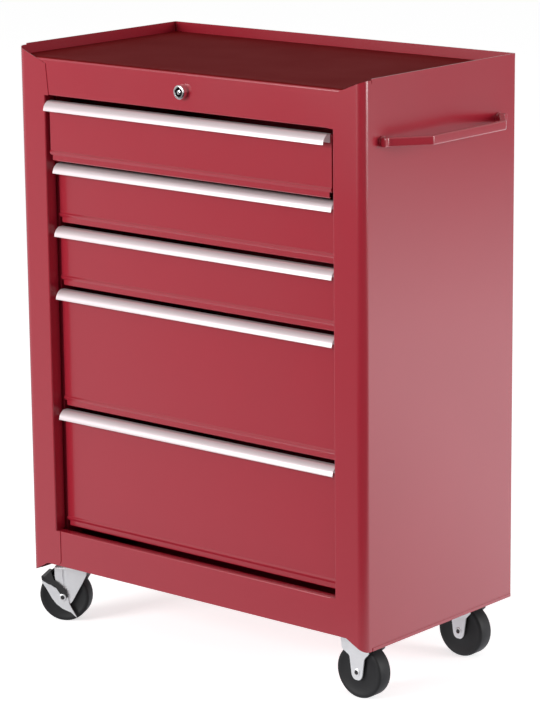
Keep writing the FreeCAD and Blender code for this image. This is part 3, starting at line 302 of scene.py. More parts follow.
# %% Finishes of this cabinet
RED = (0.36, 0.012, 0.028)
DEEP_RED = (0.33, 0.010, 0.024)
red_gloss = finish(
    "red powder coat",
    RED,
    DEEP_RED,
    (0.20, 0.28),
    ((1, 1, 1), 260.0, 0.02),
    Specular_IOR_Level=0.9,
    Coat_Weight=0.5,
    Coat_Roughness=0.08,
)
# A duller red for the tray's level faces. Its darker colour is painted shade.
tray_paint_with_painted_shade = finish(
    "tray paint with painted shade",
    (0.185, 0.005, 0.006),
    (0.150, 0.004, 0.005),
    (0.55, 0.70),
    ((1, 1, 1), 420.0, 0.03),
    mottle_scale=11.0,
    Specular_IOR_Level=0.02,
)
pull_satin = finish(
    "satin anodised aluminium",
    (0.76, 0.66, 0.68),
    (0.70, 0.60, 0.62),
    (0.30, 0.40),
    ((0.02, 1, 1), 2400.0, 0.01),
    Metallic=0.45,
)
zinc = finish(
    "bright zinc plate",
    (0.88, 0.89, 0.90),
    (0.74, 0.75, 0.77),
    (0.24, 0.40),
    ((1, 1, 1), 1500.0, 0.008),
    mottle_scale=60.0,
    Metallic=0.5,
)
slide_steel = finish(
    "rolled slide steel",
    (0.56, 0.57, 0.59),
    (0.48, 0.49, 0.51),
    (0.26, 0.38),
    ((1, 0.03, 1), 1500.0, 0.008),
    mottle_scale=30.0,
    Metallic=1.0,
)
chrome = finish(
    "bright chrome",
    (0.80, 0.78, 0.78),
    (0.72, 0.70, 0.70),
    (0.16, 0.26),
    ((1, 1, 1), 1200.0, 0.003),
    Metallic=1.0,
)
wheel_black = finish(
    "moulded black wheel",
    (0.009, 0.009, 0.010),
    (0.016, 0.016, 0.017),
    (0.46, 0.60),
    ((1, 1, 1), 1600.0, 0.02),
    mottle_scale=25.0,
    Specular_IOR_Level=0.3,
)
# Black enamel for the brake pedals. The same black is painted shade in the lock's groove and the
# axles' hollows.
black_enamel_and_painted_shade = finish(
    "black enamel and painted shade",
    (0.016, 0.016, 0.017),
    (0.024, 0.023, 0.023),
    (0.30, 0.45),
    ((1, 1, 1), 900.0, 0.02),
    mottle_scale=30.0,
)
nylon = finish(
    "natural nylon",
    (0.74, 0.73, 0.69),
    (0.68, 0.67, 0.63),
    (0.40, 0.50),
    ((1, 1, 1), 1200.0, 0.01),
    mottle_scale=20.0,
)
FINISHES = {
    "red_paint": red_gloss,
    "pull_aluminium": pull_satin,
    "zinc_steel": zinc,
    "chrome": chrome,
    "black_wheel": wheel_black,
    "black_pedal": black_enamel_and_painted_shade,
    "guide_plastic": nylon,
}
SLOT_OF = {row["node"]: row["material_slot"] for row in frame["record"]["subparts"]}


def dress(piece, slot):
    """Give a piece the finish that the record names."""
    piece.data.materials.clear()
    piece.data.materials.append(FINISHES[slot])


print("finishes:", sorted(FINISHES))

# %% [markdown]
# ## Folded sheets with soft edges
# Sheet steel is never sharp: a folded edge has a radius, and even a cut edge is rounded by the
# paint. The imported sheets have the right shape, but their triangles are loose, so each facet of
# a bend would show. A copy is welded, its flat faces are joined, and its edges get a narrow
# bevel. That thin rounded line is what catches the light along every edge of the cabinet.

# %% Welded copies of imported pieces
WELD = 0.002 * MM
FLAT = math.radians(1.0)
SMOOTH_BELOW = math.radians(34)
FACE_WEIGHT = 80


def round_edges(piece, width_mm, segments=2, angle=40):
    """Round the edges that are sharper than an angle, and keep the flat faces flat."""
    apply_modifier(
        piece,
        "BEVEL",
        width=width_mm * MM,
        segments=segments,
        limit_method="ANGLE",
        angle_limit=math.radians(angle),
        miter_outer="MITER_ARC",
    )
    select_only(piece)
    bpy.ops.object.shade_smooth_by_angle(angle=SMOOTH_BELOW)
    apply_modifier(piece, "WEIGHTED_NORMAL", keep_sharp=True, weight=FACE_WEIGHT)


def welded(node, bevel_mm):
    """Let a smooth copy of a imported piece, with rounded edges, stand for it."""
    packed = frame["nodes"][node]
    piece = bpy.data.objects.new(f"{node}.look", packed.data.copy())
    bpy.context.scene.collection.objects.link(piece)
    edit(piece, "VERT")
    bpy.ops.mesh.select_all(action="SELECT")
    bpy.ops.mesh.remove_doubles(threshold=WELD)
    bpy.ops.mesh.dissolve_limited(angle_limit=FLAT)
    select_only(piece)
    round_edges(piece, bevel_mm)
    dress(piece, SLOT_OF[node])
    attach(piece, packed["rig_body"])
    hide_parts(node)


# %% [markdown]
# Not every piece is worth modelling again. The sheets, slides, forks and brackets are welded and
# rounded here, and later steps only move a few of their corners. The pieces named below are
# modelled anew, each in a step of its own. A pressed part is rounded more than a cut sheet.

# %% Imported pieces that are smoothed
HERO_STARTS = (
    "side_handle",
    "lock_barrel",
    "lock_plug",
    "wheel_",
    "rigid_axles",
    "swivel_axle_",
    "panel_screws",
    "handle_screws",
)
HERO_END = "_pull"
SHEET_BEVEL = 0.3
PRESSING_BEVEL = 0.6
PRESSINGS = ("rigid_forks", "swivel_fork_", "brake_", "lock_bar_guides", "caster_bolts")
later = [node for node in frame["nodes"] if node.startswith(HERO_STARTS) or node.endswith(HERO_END)]
smoothed = [node for node in frame["nodes"] if node not in later]
for node in smoothed:
    welded(node, PRESSING_BEVEL if node.startswith(PRESSINGS) else SHEET_BEVEL)
print("smoothed:", len(smoothed), "modelled again:", len(later))

# %% [markdown]
# The slides are rolled from strip, whose zinc is plainer and darker than that of the casters.

# %% Slides
for node in frame["nodes"]:
    if node.startswith("slide_c") or node.endswith("_runners"):
        bpy.data.objects[f"{node}.look"].data.materials[0] = slide_steel
print("slides:", slide_steel.name)

# %% [markdown]
# Some faces of a piece need a finish of their own. The level faces of the tray's floor and of the
# flange in front of it get a duller red with little gloss. Its darker colour is painted shade,
# since little light falls on them from above. Both keep the red paint's slot.

# %% Painted shade on the top's level faces
LEVEL_FACE = 0.7


def refinish(piece, material, chosen):
    """Give another finish to those faces of a piece that a test picks."""
    piece.data.materials.append(material)
    for face in piece.data.polygons:
        if chosen(face):
            face.material_index = 1


# Painted shade: the level faces of the tray and of the top rail's flange get the darker red.
for node in ("top_tray", "top_rail"):
    refinish(bpy.data.objects[f"{node}.look"], tray_paint_with_painted_shade, lambda face: face.normal.z > LEVEL_FACE)
print("painted shade:", tray_paint_with_painted_shade.name)

# %% [markdown]
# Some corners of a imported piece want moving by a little, as one would box-select them in a side
# view and drag them. A zone is given in millimetres from an origin, and what lies in it moves.
# The bead along each drawer front gets a steeper lower side, which shows as a dark line above
# the light band of the lower edge. The lowest front hangs nearly to the base rail.

# %% Beads and the lowest front
BEAD_FOOT = (5.0, 7.3)
BEAD_RISE = 3.0
BEAD_ZONE = (-1.0, 16.0)
LOW_DRAWER_DROP = 3.3
LOWEST_FRONT = "drawer_5_front"
DRAWERS = range(1, 6)
UPWARDS = Vector((0, 0, 1))


def pick(piece, chosen):
    """Select the corners of a piece being edited that a test on their place picks."""
    bpy.ops.object.mode_set(mode="OBJECT")
    for vertex in piece.data.vertices:
        vertex.select = chosen(vertex.co)
    bpy.ops.object.mode_set(mode="EDIT")


def within(place, origin, ways, zones):
    """Whether a place lies in a zone, measured in mm from an origin along some directions."""
    measures = [(place - origin).dot(way) / MM for way in ways]
    return all(low < value < high for value, (low, high) in zip(measures, zones))


def nudge(piece, origin, ways, zones, shift):
    """Move the corners of one zone, with the shift in mm along the same directions."""
    edit(piece, "VERT")
    pick(piece, lambda place: within(place, origin, ways, zones))
    move = sum((way * step for way, step in zip(ways, shift)), Vector())
    bpy.ops.transform.translate(value=move * MM)
    select_only(piece)


for number in DRAWERS:
    node = f"drawer_{number}_front"
    front = bpy.data.objects[f"{node}.look"]
    nudge(front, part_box(node)[0], [UPWARDS], [BEAD_FOOT], [BEAD_RISE])
lowest = bpy.data.objects[f"{LOWEST_FRONT}.look"]
nudge(lowest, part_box(LOWEST_FRONT)[0], [UPWARDS], [BEAD_ZONE], [-LOW_DRAWER_DROP])
print("lowest front moved down by", LOW_DRAWER_DROP, "mm")

# %% [markdown]
# ## Rigid forks
# The legs of the rigid forks taper to a narrow round foot about the axle. They are drawn in
# towards the axle's line, the lower part more than the upper. The record of the joints tells
# where each axle is, so no place has to be typed in.

# %% Rigid forks
FORK_DRAWS = ((54.9, 0.86), (28.0, 0.86))
FORK_REACH = 31.0
JOINTS = {row["name"]: row for row in frame["record"]["behaviour"]["joints"]}


def joint_line(name):
    """A joint's place and its direction."""
    row = JOINTS[name]
    return Vector(row["pos_m"]), Vector(row["axis"]).normalized()


forks = bpy.data.objects["rigid_forks.look"]
for corner in ("front_right", "rear_right"):
    centre, axis = joint_line(f"wheel_{corner}")
    ways = [Vector((1, 0, 0)), axis, UPWARDS]
    for top, share in FORK_DRAWS:
        zones = [(-FORK_REACH, FORK_REACH), (-FORK_REACH, FORK_REACH), (-FORK_REACH, top)]
        edit(forks, "VERT")
        pick(forks, lambda place: within(place, centre, ways, zones))
        bpy.ops.transform.resize(value=(share, 1, 1), center_override=centre)
select_only(forks)
print("rigid forks: legs drawn in", len(FORK_DRAWS), "times")

# %% [markdown]
# ## Swivel forks and brakes
# The pressed flute in each swivel fork is made deeper. A brake pedal is a bent strip above slim
# cheeks. Its tip and its bend go in towards the wheel without touching it, and the lower edge of
# its cheeks goes up. These casters stand at an angle, so their corners are found along the
# axle's own direction and not along the cabinet's.

# %% Swivel forks and brakes
FLUTE_WIDTH = (-6.3, -0.2)
FLUTE_HEIGHT = (31.5, 43.2)
FLUTE_FLOOR = (18.9, 19.5)
FLUTE_DEEPER = 1.2
PEDAL_TIP = ((33, 38), (27, 33), (-4, -0.5))
PEDAL_BEND = ((26, 30), (27, 31), (-1.5, 0))
CHEEK_TIP = ((33, 37), (19, 24), (-4, 2.3))
CHEEK_MIDDLE = ((23, 27), (11, 16), (-4, 5))
CHEEK_ROOT = ((18, 22), (10, 15), (-8, 4.6))
LEVER_TIP = ((33, 37), (19, 23), (-3, 1))
PEDAL_CORNERS = (PEDAL_TIP, PEDAL_BEND, CHEEK_TIP, CHEEK_MIDDLE, CHEEK_ROOT)


def drag(piece, centre, ways, corner):
    """Move one corner of a pressing, given by its zone outward, its zone upward and its shift."""
    out_zone, up_zone, shift = corner
    nudge(piece, centre, ways, [out_zone, up_zone], shift)


for corner in ("front_left", "rear_left"):
    centre, axis = joint_line(f"brake_{corner}")
    ways = [axis.cross(UPWARDS), UPWARDS]
    pedal = bpy.data.objects[f"brake_pedal_{corner}.look"]
    for pedal_corner in PEDAL_CORNERS:
        drag(pedal, centre, ways, pedal_corner)
    lever = bpy.data.objects[f"brake_lever_{corner}.look"]
    drag(lever, centre, ways, LEVER_TIP)
    fork = bpy.data.objects[f"swivel_fork_{corner}.look"]
    for side in (axis, -axis):
        ways = [axis.cross(UPWARDS), UPWARDS, side]
        zones = [FLUTE_WIDTH, FLUTE_HEIGHT, FLUTE_FLOOR]
        nudge(fork, centre, ways, zones, (0, 0, -FLUTE_DEEPER))
print("swivel casters: flutes, levers and", len(PEDAL_CORNERS), "corners of each pedal moved")

# %% [markdown]
# ## Tools for new pieces
# Most small pieces start from a line. A profile can be pulled out straight, as a drawn aluminium
# section is, or spun about an axis, as on a lathe. The line is drawn as by hand: one corner is
# made, and each next one is extruded from the last.

# %% Lines, pulls and spins
def trace(name, points, loop=True):
    """A chain of edges through some points, which closes into a loop unless told otherwise."""
    select_only()
    bpy.ops.mesh.primitive_plane_add(size=MM)
    piece = bpy.context.object
    piece.name = name
    edit(piece, "VERT")
    bpy.ops.mesh.select_all(action="SELECT")
    bpy.ops.mesh.merge(type="CENTER")
    bpy.ops.mesh.select_all(action="SELECT")
    bpy.ops.transform.translate(value=points[0])
    chain = list(points) + list(points[:1]) if loop else list(points)
    for start, end in zip(chain[:-1], chain[1:]):
        bpy.ops.mesh.extrude_vertices_move(TRANSFORM_OT_translate={"value": end - start})
    bpy.ops.mesh.select_all(action="SELECT")
    bpy.ops.mesh.remove_doubles(threshold=WELD)
    return piece


def settle(piece):
    """Merge what coincides, turn the faces outwards and stop editing."""
    bpy.ops.mesh.select_all(action="SELECT")
    bpy.ops.mesh.remove_doubles(threshold=WELD)
    bpy.ops.mesh.normals_make_consistent(inside=False)
    select_only(piece)


def pulled(name, points, way):
    """A closed outline, filled and pulled out into a solid."""
    piece = trace(name, points)
    bpy.ops.mesh.select_all(action="SELECT")
    bpy.ops.mesh.edge_face_add()
    bpy.ops.mesh.extrude_region_move(TRANSFORM_OT_translate={"value": way})
    settle(piece)
    return piece


def turned(name, profile, centre, axis, loop=False, steps=40):
    """A lathe piece. Its profile is pairs of radius and place along the axis, in mm."""
    aside = axis.orthogonal().normalized()
    points = [centre + (aside * radius + axis * along) * MM for radius, along in profile]
    piece = trace(name, points, loop)
    bpy.ops.mesh.select_all(action="SELECT")
    bpy.ops.mesh.spin(steps=steps, angle=math.tau, center=centre, axis=axis)
    settle(piece)
    bpy.ops.object.shade_smooth_by_angle(angle=SMOOTH_BELOW)
    return piece


# %% [markdown]
# What repeats is modelled once and copied, and every copy has a mesh of its own. Small pieces
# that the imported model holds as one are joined. A finished piece then takes over the place, the
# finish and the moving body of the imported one, so it moves as that one does.

# %% Copies, sets and stand-ins
def copied(master, name, place):
    """Another of the same piece, with a mesh of its own, moved by a matrix."""
    piece = bpy.data.objects.new(name, master.data.copy())
    bpy.context.scene.collection.objects.link(piece)
    piece.data.transform(place)
    return piece


def joined(pieces):
    """Several pieces made one."""
    select_only(*pieces)
    bpy.ops.object.join()
    return pieces[0]


def stand_in(piece, node):
    """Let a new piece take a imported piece's place, its finish and its body."""
    dress(piece, SLOT_OF[node])
    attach(piece, frame["nodes"][node]["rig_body"])
    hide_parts(node)


# %% [markdown]
# ## Drawer pulls
# Each pull is a length of drawn aluminium. Its section hooks over the top edge of the drawer's
# front, has a leg down the face, and curls out and down in a bulged grip. The section is traced
# once from the side and pulled out along the drawer. Its ends are cut a little short of the
# front's ends, and all its edges are broken.

# %% Drawer pulls
PULL_HOOK = 2.0
PULL_WALL = 1.2
PULL_LEG = 12.0
PULL_FLAT = 5.5
PULL_REACH = 15.5
PULL_BULGE = 2.6
PULL_SHORT = 2.0
PULL_BEVEL = 0.4
ARC_STEPS = 9


def bulge(start, end, height):
    """Places on a shallow arc that stands off the line between two corners, in mm."""
    start = Vector(start)
    chord = Vector(end) - start
    aside = Vector((chord.y, -chord.x)).normalized()
    shares = [step / ARC_STEPS for step in range(ARC_STEPS + 1)]
    return [start + chord * share + aside * height * 4 * share * (1 - share) for share in shares]


def pull_section(height):
    """The pull's section from the side: outward from the drawer's face, and up from its top."""
    flat = (-PULL_FLAT, 0)
    lip = (-PULL_REACH, -height)
    lip_back = (-PULL_REACH + PULL_WALL, -height)
    under = (-PULL_FLAT, -PULL_WALL)
    hook = [(PULL_HOOK, -PULL_WALL), (PULL_HOOK, 0)]
    leg = [(-PULL_WALL, -PULL_WALL), (-PULL_WALL, -PULL_LEG), (0, -PULL_LEG), (0, -PULL_WALL)]
    grip = bulge(flat, lip, PULL_BULGE) + bulge(under, lip_back, PULL_BULGE)[::-1]
    return [Vector(corner) for corner in hook] + grip + [Vector(corner) for corner in leg]


pull_low, pull_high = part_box("drawer_1_pull")
start_x = pull_low.x + PULL_SHORT * MM
section = [
    Vector((start_x, pull_high.y + (out - PULL_HOOK) * MM, pull_high.z + up * MM))
    for out, up in pull_section((pull_high.z - pull_low.z) / MM)
]
length = Vector((pull_high.x - pull_low.x - 2 * PULL_SHORT * MM, 0, 0))
first_pull = pulled("drawer_1_pull.look", section, length)
round_edges(first_pull, PULL_BEVEL, segments=3)
stand_in(first_pull, "drawer_1_pull")
for number in DRAWERS[1:]:
    node = f"drawer_{number}_pull"
    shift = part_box(node)[1] - pull_high
    stand_in(copied(first_pull, f"{node}.look", Matrix.Translation(shift)), node)
print("pulls:", len(DRAWERS), "corners in the section:", len(section))

# %% [markdown]
# ## Push handle
# The handle is a flat bar bent twice, so that fingers fit behind it, and it stands on two round
# bosses. Seen from above it is one outline with slanted ends, which is traced and pulled upwards.
# A wide bevel gives the bar its soft edges. Each boss is a lathe piece with a collar where it
# meets the side.

# %% Push handle
HANDLE_THICK = 8.0
HANDLE_FLAT_HALF = 79.0
HANDLE_MOUNT = 125.5
BAR_HALF_HEIGHT = 6.25
BAR_BEVEL = 2.0
BAR_SOFT_ABOVE = 15
BOSS_RADIUS = 7.5
BOSS_LENGTH = 11.0
BOSS_END = BOSS_LENGTH - 2.0
COLLAR = 1.1

handle_low, handle_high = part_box("side_handle")
handle_mid = (handle_low + handle_high) / 2
boss_end = handle_low.x + BOSS_LENGTH * MM
bar_half = handle_high.y - handle_mid.y


def handle_line(inward_mm):
    """One long face of the bar from above, moved inward from its outer face."""
    inward = inward_mm * MM
    slant = math.atan2(handle_high.x - boss_end, (HANDLE_MOUNT - HANDLE_FLAT_HALF) * MM)
    shorten = inward * math.tan(slant / 2)
    steps = [
        (boss_end - inward, bar_half),
        (boss_end - inward, HANDLE_MOUNT * MM - shorten),
        (handle_high.x - inward, HANDLE_FLAT_HALF * MM - shorten),
    ]
    half = [Vector((x, handle_mid.y + y, handle_mid.z - BAR_HALF_HEIGHT * MM)) for x, y in steps]
    other = [Vector((corner.x, 2 * handle_mid.y - corner.y, corner.z)) for corner in half[::-1]]
    return half + other


bar_outline = handle_line(0) + handle_line(HANDLE_THICK)[::-1]
bar = pulled("side_handle.look", bar_outline, Vector((0, 0, 2 * BAR_HALF_HEIGHT * MM)))
round_edges(bar, BAR_BEVEL, segments=4, angle=BAR_SOFT_ABOVE)
boss_profile = [
    (0, 0),
    (BOSS_RADIUS - 0.4, 0),
    (BOSS_RADIUS, 0.4),
    (BOSS_RADIUS, 2.2),
    (BOSS_RADIUS - COLLAR, 2.9),
    (BOSS_RADIUS - COLLAR, BOSS_END),
    (0, BOSS_END),
]
handle_pieces = [bar]
for side in (-1, 1):
    foot = Vector((handle_low.x, handle_mid.y + side * HANDLE_MOUNT * MM, handle_mid.z))
    handle_pieces.append(turned("boss", boss_profile, foot, Vector((1, 0, 0))))
handle = joined(handle_pieces)
stand_in(handle, "side_handle")
print("handle faces:", len(handle.data.polygons))

# %% [markdown]
# ## Lock
# A tubular key lock has a bright ring, a deep round groove that the key slides into, and a post
# in the groove's middle. Ring and plug are lathe pieces about the lock's axis. The notch that
# lets the key in is cut with a small block, because a lathe can't make it. The groove's walls
# are painted black as painted shade, since hardly any light falls into a slot this narrow.

# %% Lock
RING_PROFILE = [
    (6.3, -8.4),
    (6.7, -8.9),
    (7.6, -9.0),
    (8.9, -8.7),
    (9.6, -8.0),
    (9.75, -7.2),
    (9.75, 0.0),
    (9.0, 0.0),
    (9.0, 18.0),
    (6.3, 18.0),
]
PLUG_PROFILE = [
    (0, -8.5),
    (2.5, -8.5),
    (3.0, -8.3),
    (3.2, -7.8),
    (3.2, -1.5),
    (5.9, -1.5),
    (5.9, 18.0),
    (4.0, 18.0),
    (4.0, 24.0),
    (0, 24.0),
]
KEYWAY = (2.4, 4.0, 3.2)
KEYWAY_PLACE = Vector((0, -9.0, -6.0))
PAINTED_SHADE_WITHIN = 6.4
PAINTED_SHADE_BEHIND = -7.5


def from_line(place, centre, axis):
    """How far a place is from an axis, and how far along it, in mm."""
    offset = place - centre
    along = offset.dot(axis)
    return (offset - axis * along).length / MM, along / MM


def cut_with(piece, cutter):
    """Cut one piece out of another and throw the cutter away."""
    apply_modifier(piece, "BOOLEAN", object=cutter, operation="DIFFERENCE", solver="EXACT")
    bpy.data.objects.remove(cutter)


lock_centre, lock_axis = joint_line("lock_turn")
ring = turned("lock_barrel.look", RING_PROFILE, lock_centre, lock_axis, loop=True, steps=48)
select_only()
notch_place = lock_centre + KEYWAY_PLACE * MM
bpy.ops.mesh.primitive_cube_add(size=MM, location=notch_place, scale=KEYWAY)
notch = bpy.context.object
bpy.ops.object.transform_apply(location=True, rotation=True, scale=True)
cut_with(ring, notch)
stand_in(ring, "lock_barrel")
plug = turned("lock_plug.look", PLUG_PROFILE, lock_centre, lock_axis, steps=32)
stand_in(plug, "lock_plug")


def from_lock(face):
    """How far a face of the lock is from the lock's axis, and how far along it, in mm."""
    return from_line(face.center, lock_centre, lock_axis)


# Painted shade: the ring's bore and the post's sides and the plug behind it get the black finish.
refinish(ring, black_enamel_and_painted_shade, lambda face: from_lock(face)[0] < PAINTED_SHADE_WITHIN)
refinish(plug, black_enamel_and_painted_shade, lambda face: from_lock(face)[1] > PAINTED_SHADE_BEHIND)
print("lock ring faces:", len(ring.data.polygons))

# %% [markdown]
# ## Wheels
# The wheels are solid black mouldings. From the side each has a raised hub, a shallow dish and a
# face ring, and the tread has soft shoulders. One profile is traced from the bore to the tread
# and back, spun about the axle, and copied to the four corners, two of them turned with their
# swivels.

# %% Wheels
WHEEL_SIDE = [
    (4.1, 13.2),
    (9.8, 13.2),
    (10.4, 12.7),
    (10.7, 10.8),
    (12.2, 10.0),
    (29.5, 10.9),
    (31.5, 11.8),
    (34.3, 12.0),
    (35.9, 11.6),
    (37.0, 10.6),
    (37.5, 9.0),
]
WHEEL_STEPS = 72
ORIGIN = Vector((0, 0, 0))
CROSSWAYS = Vector((0, 1, 0))


def onto(centre, axis, start=CROSSWAYS):
    """The move that takes a piece modelled about one axis at the origin to its own axis."""
    swing = start.rotation_difference(axis).to_matrix().to_4x4()
    return Matrix.Translation(centre) @ swing


wheel_profile = WHEEL_SIDE + [(radius, -along) for radius, along in WHEEL_SIDE[::-1]]
wheel_master = turned("wheel", wheel_profile, ORIGIN, CROSSWAYS, loop=True, steps=WHEEL_STEPS)
CORNERS = ("front_left", "rear_left", "front_right", "rear_right")
for corner in CORNERS:
    node = f"wheel_{corner}"
    stand_in(copied(wheel_master, f"{node}.look", onto(*joint_line(node))), node)
print("wheel faces:", len(wheel_master.data.polygons))
bpy.data.objects.remove(wheel_master)

# %% [markdown]
# ## Axles
# Each axle is a tubular rivet. Its two ends are rolled over into round collars with a hollow in
# the middle. The hollow is painted black as painted shade, so it shows as a dark dot. The swivel
# axles also carry the brake, so they are longer, and their length is measured on the imported
# piece. The two rigid casters stand in line, so one axis serves both of their axles.

# %% Axles
AXLE_RADIUS = 4.0
RIVET_EDGE = 5.5
HOLLOW = 3.0
HOLLOW_DEPTH = 1.1
AXLE_STEPS = 32
NEAR_LINE = 10.0
NEAR_WHEEL = 60.0


def rivet_half(half_length):
    """Half of an axle's profile, from the middle of one end to the middle of the shank."""
    return [
        (0, half_length - HOLLOW_DEPTH),
        (HOLLOW - 0.4, half_length - HOLLOW_DEPTH),
        (HOLLOW, half_length - 0.5),
        (HOLLOW + 0.5, half_length),
        (RIVET_EDGE - 1.2, half_length),
        (RIVET_EDGE - 0.3, half_length - 0.5),
        (RIVET_EDGE, half_length - 1.5),
        (AXLE_RADIUS, half_length - 1.5),
    ]


def half_length_of(node, centre, axis):
    """How far a packed axle reaches from the middle of its wheel, in mm."""
    places = [from_line(vertex.co, centre, axis) for vertex in frame["nodes"][node].data.vertices]
    return max(along for radius, along in places if radius < NEAR_LINE and along < NEAR_WHEEL)


def axle(node, corner):
    """One riveted axle through a wheel."""
    centre, line = joint_line(f"wheel_{corner}")
    half = rivet_half(half_length_of(node, centre, line))
    profile = half + [(radius, -along) for radius, along in half[::-1]]
    return turned(f"{node}.look", profile, centre, line, steps=AXLE_STEPS)


def paint_shade_in_hollows(piece, corner):
    """Paint the hollow ends of the axles on one wheel's line black, as painted shade."""
    centre, line = joint_line(f"wheel_{corner}")
    refinish(piece, black_enamel_and_painted_shade, lambda face: from_line(face.center, centre, line)[0] < HOLLOW - 0.1)


# The hollows in each axle's ends are painted black as painted shade.
for corner in ("front_left", "rear_left"):
    node = f"swivel_axle_{corner}"
    rivet = axle(node, corner)
    stand_in(rivet, node)
    paint_shade_in_hollows(rivet, corner)
rivets = joined([axle("rigid_axles", corner) for corner in ("front_right", "rear_right")])
stand_in(rivets, "rigid_axles")
paint_shade_in_hollows(rivets, "front_right")
print("axles:", len(CORNERS))

# %% [markdown]
# ## Screws
# Pan-head screws hold the back panel, and larger ones hold the handle from inside. One screw is
# turned standing on its point, and a cross is cut into its head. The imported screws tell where
# each one goes: a copy of them is split into loose parts, and the box of each part is read.

# %% Screws
PAN_HEAD = [
    (0, 1.6),
    (1.6, 1.5),
    (2.9, 1.15),
    (3.7, 0.55),
    (4.0, 0),
    (2.0, 0),
    (2.0, -5.4),
    (0, -6.0),
]
CROSS = (0.45, 2.1)
CROSS_DEPTH = 1.0
HANDLE_SCREW_SIZE = 1.375
HANDLE_HEAD = 3.0
SCREW_STEPS = 24


def solids_of(node):
    """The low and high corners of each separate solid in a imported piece."""
    part = bpy.data.objects.new("split", frame["nodes"][node].data.copy())
    bpy.context.scene.collection.objects.link(part)
    edit(part, "VERT")
    bpy.ops.mesh.select_all(action="SELECT")
    bpy.ops.mesh.remove_doubles(threshold=WELD)
    bpy.ops.mesh.separate(type="LOOSE")
    select_only()
    parts = [found for found in bpy.data.objects if found.name.startswith("split")]
    boxes = []
    for found in parts:
        places = [vertex.co for vertex in found.data.vertices]
        low = Vector([min(place[way] for place in places) for way in range(3)])
        high = Vector([max(place[way] for place in places) for way in range(3)])
        boxes.append((low, high))
        bpy.data.objects.remove(found)
    return boxes


def cross_cutter():
    """A plus-shaped block for the recess in a screw's head."""
    arm, tip = CROSS
    base = PAN_HEAD[0][1] - CROSS_DEPTH
    quarter_line = [Vector((arm, arm, base)), Vector((arm, tip, base)), Vector((-arm, tip, base))]
    turns = [Matrix.Rotation(quarter * math.pi / 2, 3, "Z") for quarter in range(4)]
    points = [swing @ corner * MM for swing in turns for corner in quarter_line]
    return pulled("cross", points, Vector((0, 0, 3 * CROSS_DEPTH * MM)))


def screw_set(node, places):
    """Copies of the screw at some places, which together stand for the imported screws."""
    screws = joined([copied(screw_master, f"{node}.look", place) for place in places])
    stand_in(screws, node)


screw_master = turned("screw", PAN_HEAD, ORIGIN, UPWARDS, steps=SCREW_STEPS)
cut_with(screw_master, cross_cutter())
head_height = PAN_HEAD[0][1] * MM
back_places = []
for low, high in solids_of("panel_screws"):
    seat = Vector(((low.x + high.x) / 2, high.y - head_height, (low.z + high.z) / 2))
    back_places.append(onto(seat, CROSSWAYS, UPWARDS))
screw_set("panel_screws", back_places)
handle_places = []
for low, high in solids_of("handle_screws"):
    seat = Vector((low.x + HANDLE_HEAD * MM, (low.y + high.y) / 2, (low.z + high.z) / 2))
    facing_in = onto(seat, Vector((-1, 0, 0)), UPWARDS)
    handle_places.append(facing_in @ Matrix.Scale(HANDLE_SCREW_SIZE, 4))
screw_set("handle_screws", handle_places)
bpy.data.objects.remove(screw_master)
print("screws:", len(back_places), "and", len(handle_places))

# %% [markdown]
# ## Balls in the slides
# The drawers run on steel balls, which show when a drawer is pulled out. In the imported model
# they have a few flats. Each flat-sided ball in a cage is found by its small size, and a round
# one takes its place. A ball has few faces, because there are forty of them.

# %% Balls
BALL_LIMIT = 6.0
BALL_SEGMENTS = 14
BALL_RINGS = 9


def round_balls(node):
    """Swap the flat-sided balls of a cage for round ones."""
    cage = bpy.data.objects[f"{node}.look"]
    boxes = solids_of(node)
    balls = [pair for pair in boxes if (pair[1] - pair[0]).length < 2 * BALL_LIMIT * MM]
    edit(cage, "VERT")
    for low, high in balls:
        middle = (low + high) / 2
        pick(cage, lambda place: (place - middle).length < BALL_LIMIT / 2 * MM)
        bpy.ops.mesh.delete(type="VERT")
    select_only(cage)
    spheres = []
    for low, high in balls:
        radius = (high.z - low.z) / 2
        bpy.ops.mesh.primitive_uv_sphere_add(
            segments=BALL_SEGMENTS,
            ring_count=BALL_RINGS,
            radius=radius,
            location=(low + high) / 2,
        )
        bpy.ops.object.shade_smooth()
        bpy.ops.object.transform_apply(location=True, rotation=True, scale=True)
        spheres.append(bpy.context.object)
        spheres[-1].data.materials.append(slide_steel)
        bpy.ops.object.select_all(action="DESELECT")
    joined([cage] + spheres)
    return len(balls)


print("balls:", sum(round_balls(f"slide_cage_{number}") for number in DRAWERS))

# %% [markdown]
# ## Studio
# Glossy paint shows what stands round it, so the studio matters as much as the paint. The front
# mirrors the floor before it, and the side mirrors the floor beside it, which has to be brighter.
# The floor therefore sends mirror rays a level of light of its own, low far out in front and
# high beside the cabinet, while the camera sees it as plain white.

# %% Floor
FLOOR_SIZE = 40.0
FLOOR_LIFT = 0.66
GLOW = (0.95, 0.95, 1.0, 1)
PAPER = (0.86, 0.86, 0.86, 1)
FRONT_WAY = (0.65, -0.76, 0)
FRONT_SPAN = (-0.1, 0.9)
FRONT_LEVELS = (0.65, 0.03)
SIDE_WAY = (0.76, 0.65, 0)
BESIDE_SPAN = (-0.3, 0.3)
BESIDE_LEVELS = (1.0, 2.25)
FAR_SPAN = (2.4, 5.0)
FAR_LEVELS = (1.0, 0.2)
select_only()
bpy.ops.mesh.primitive_plane_add(size=FLOOR_SIZE, location=(0, 0, 0))
floor = bpy.context.object
floor.name = "floor"
floor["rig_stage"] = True
print("floor:", FLOOR_SIZE, "m")

# %% [markdown]
# The level for mirror rays is built from slopes. Each one changes evenly along one way over the
# floor, and three of them are multiplied.

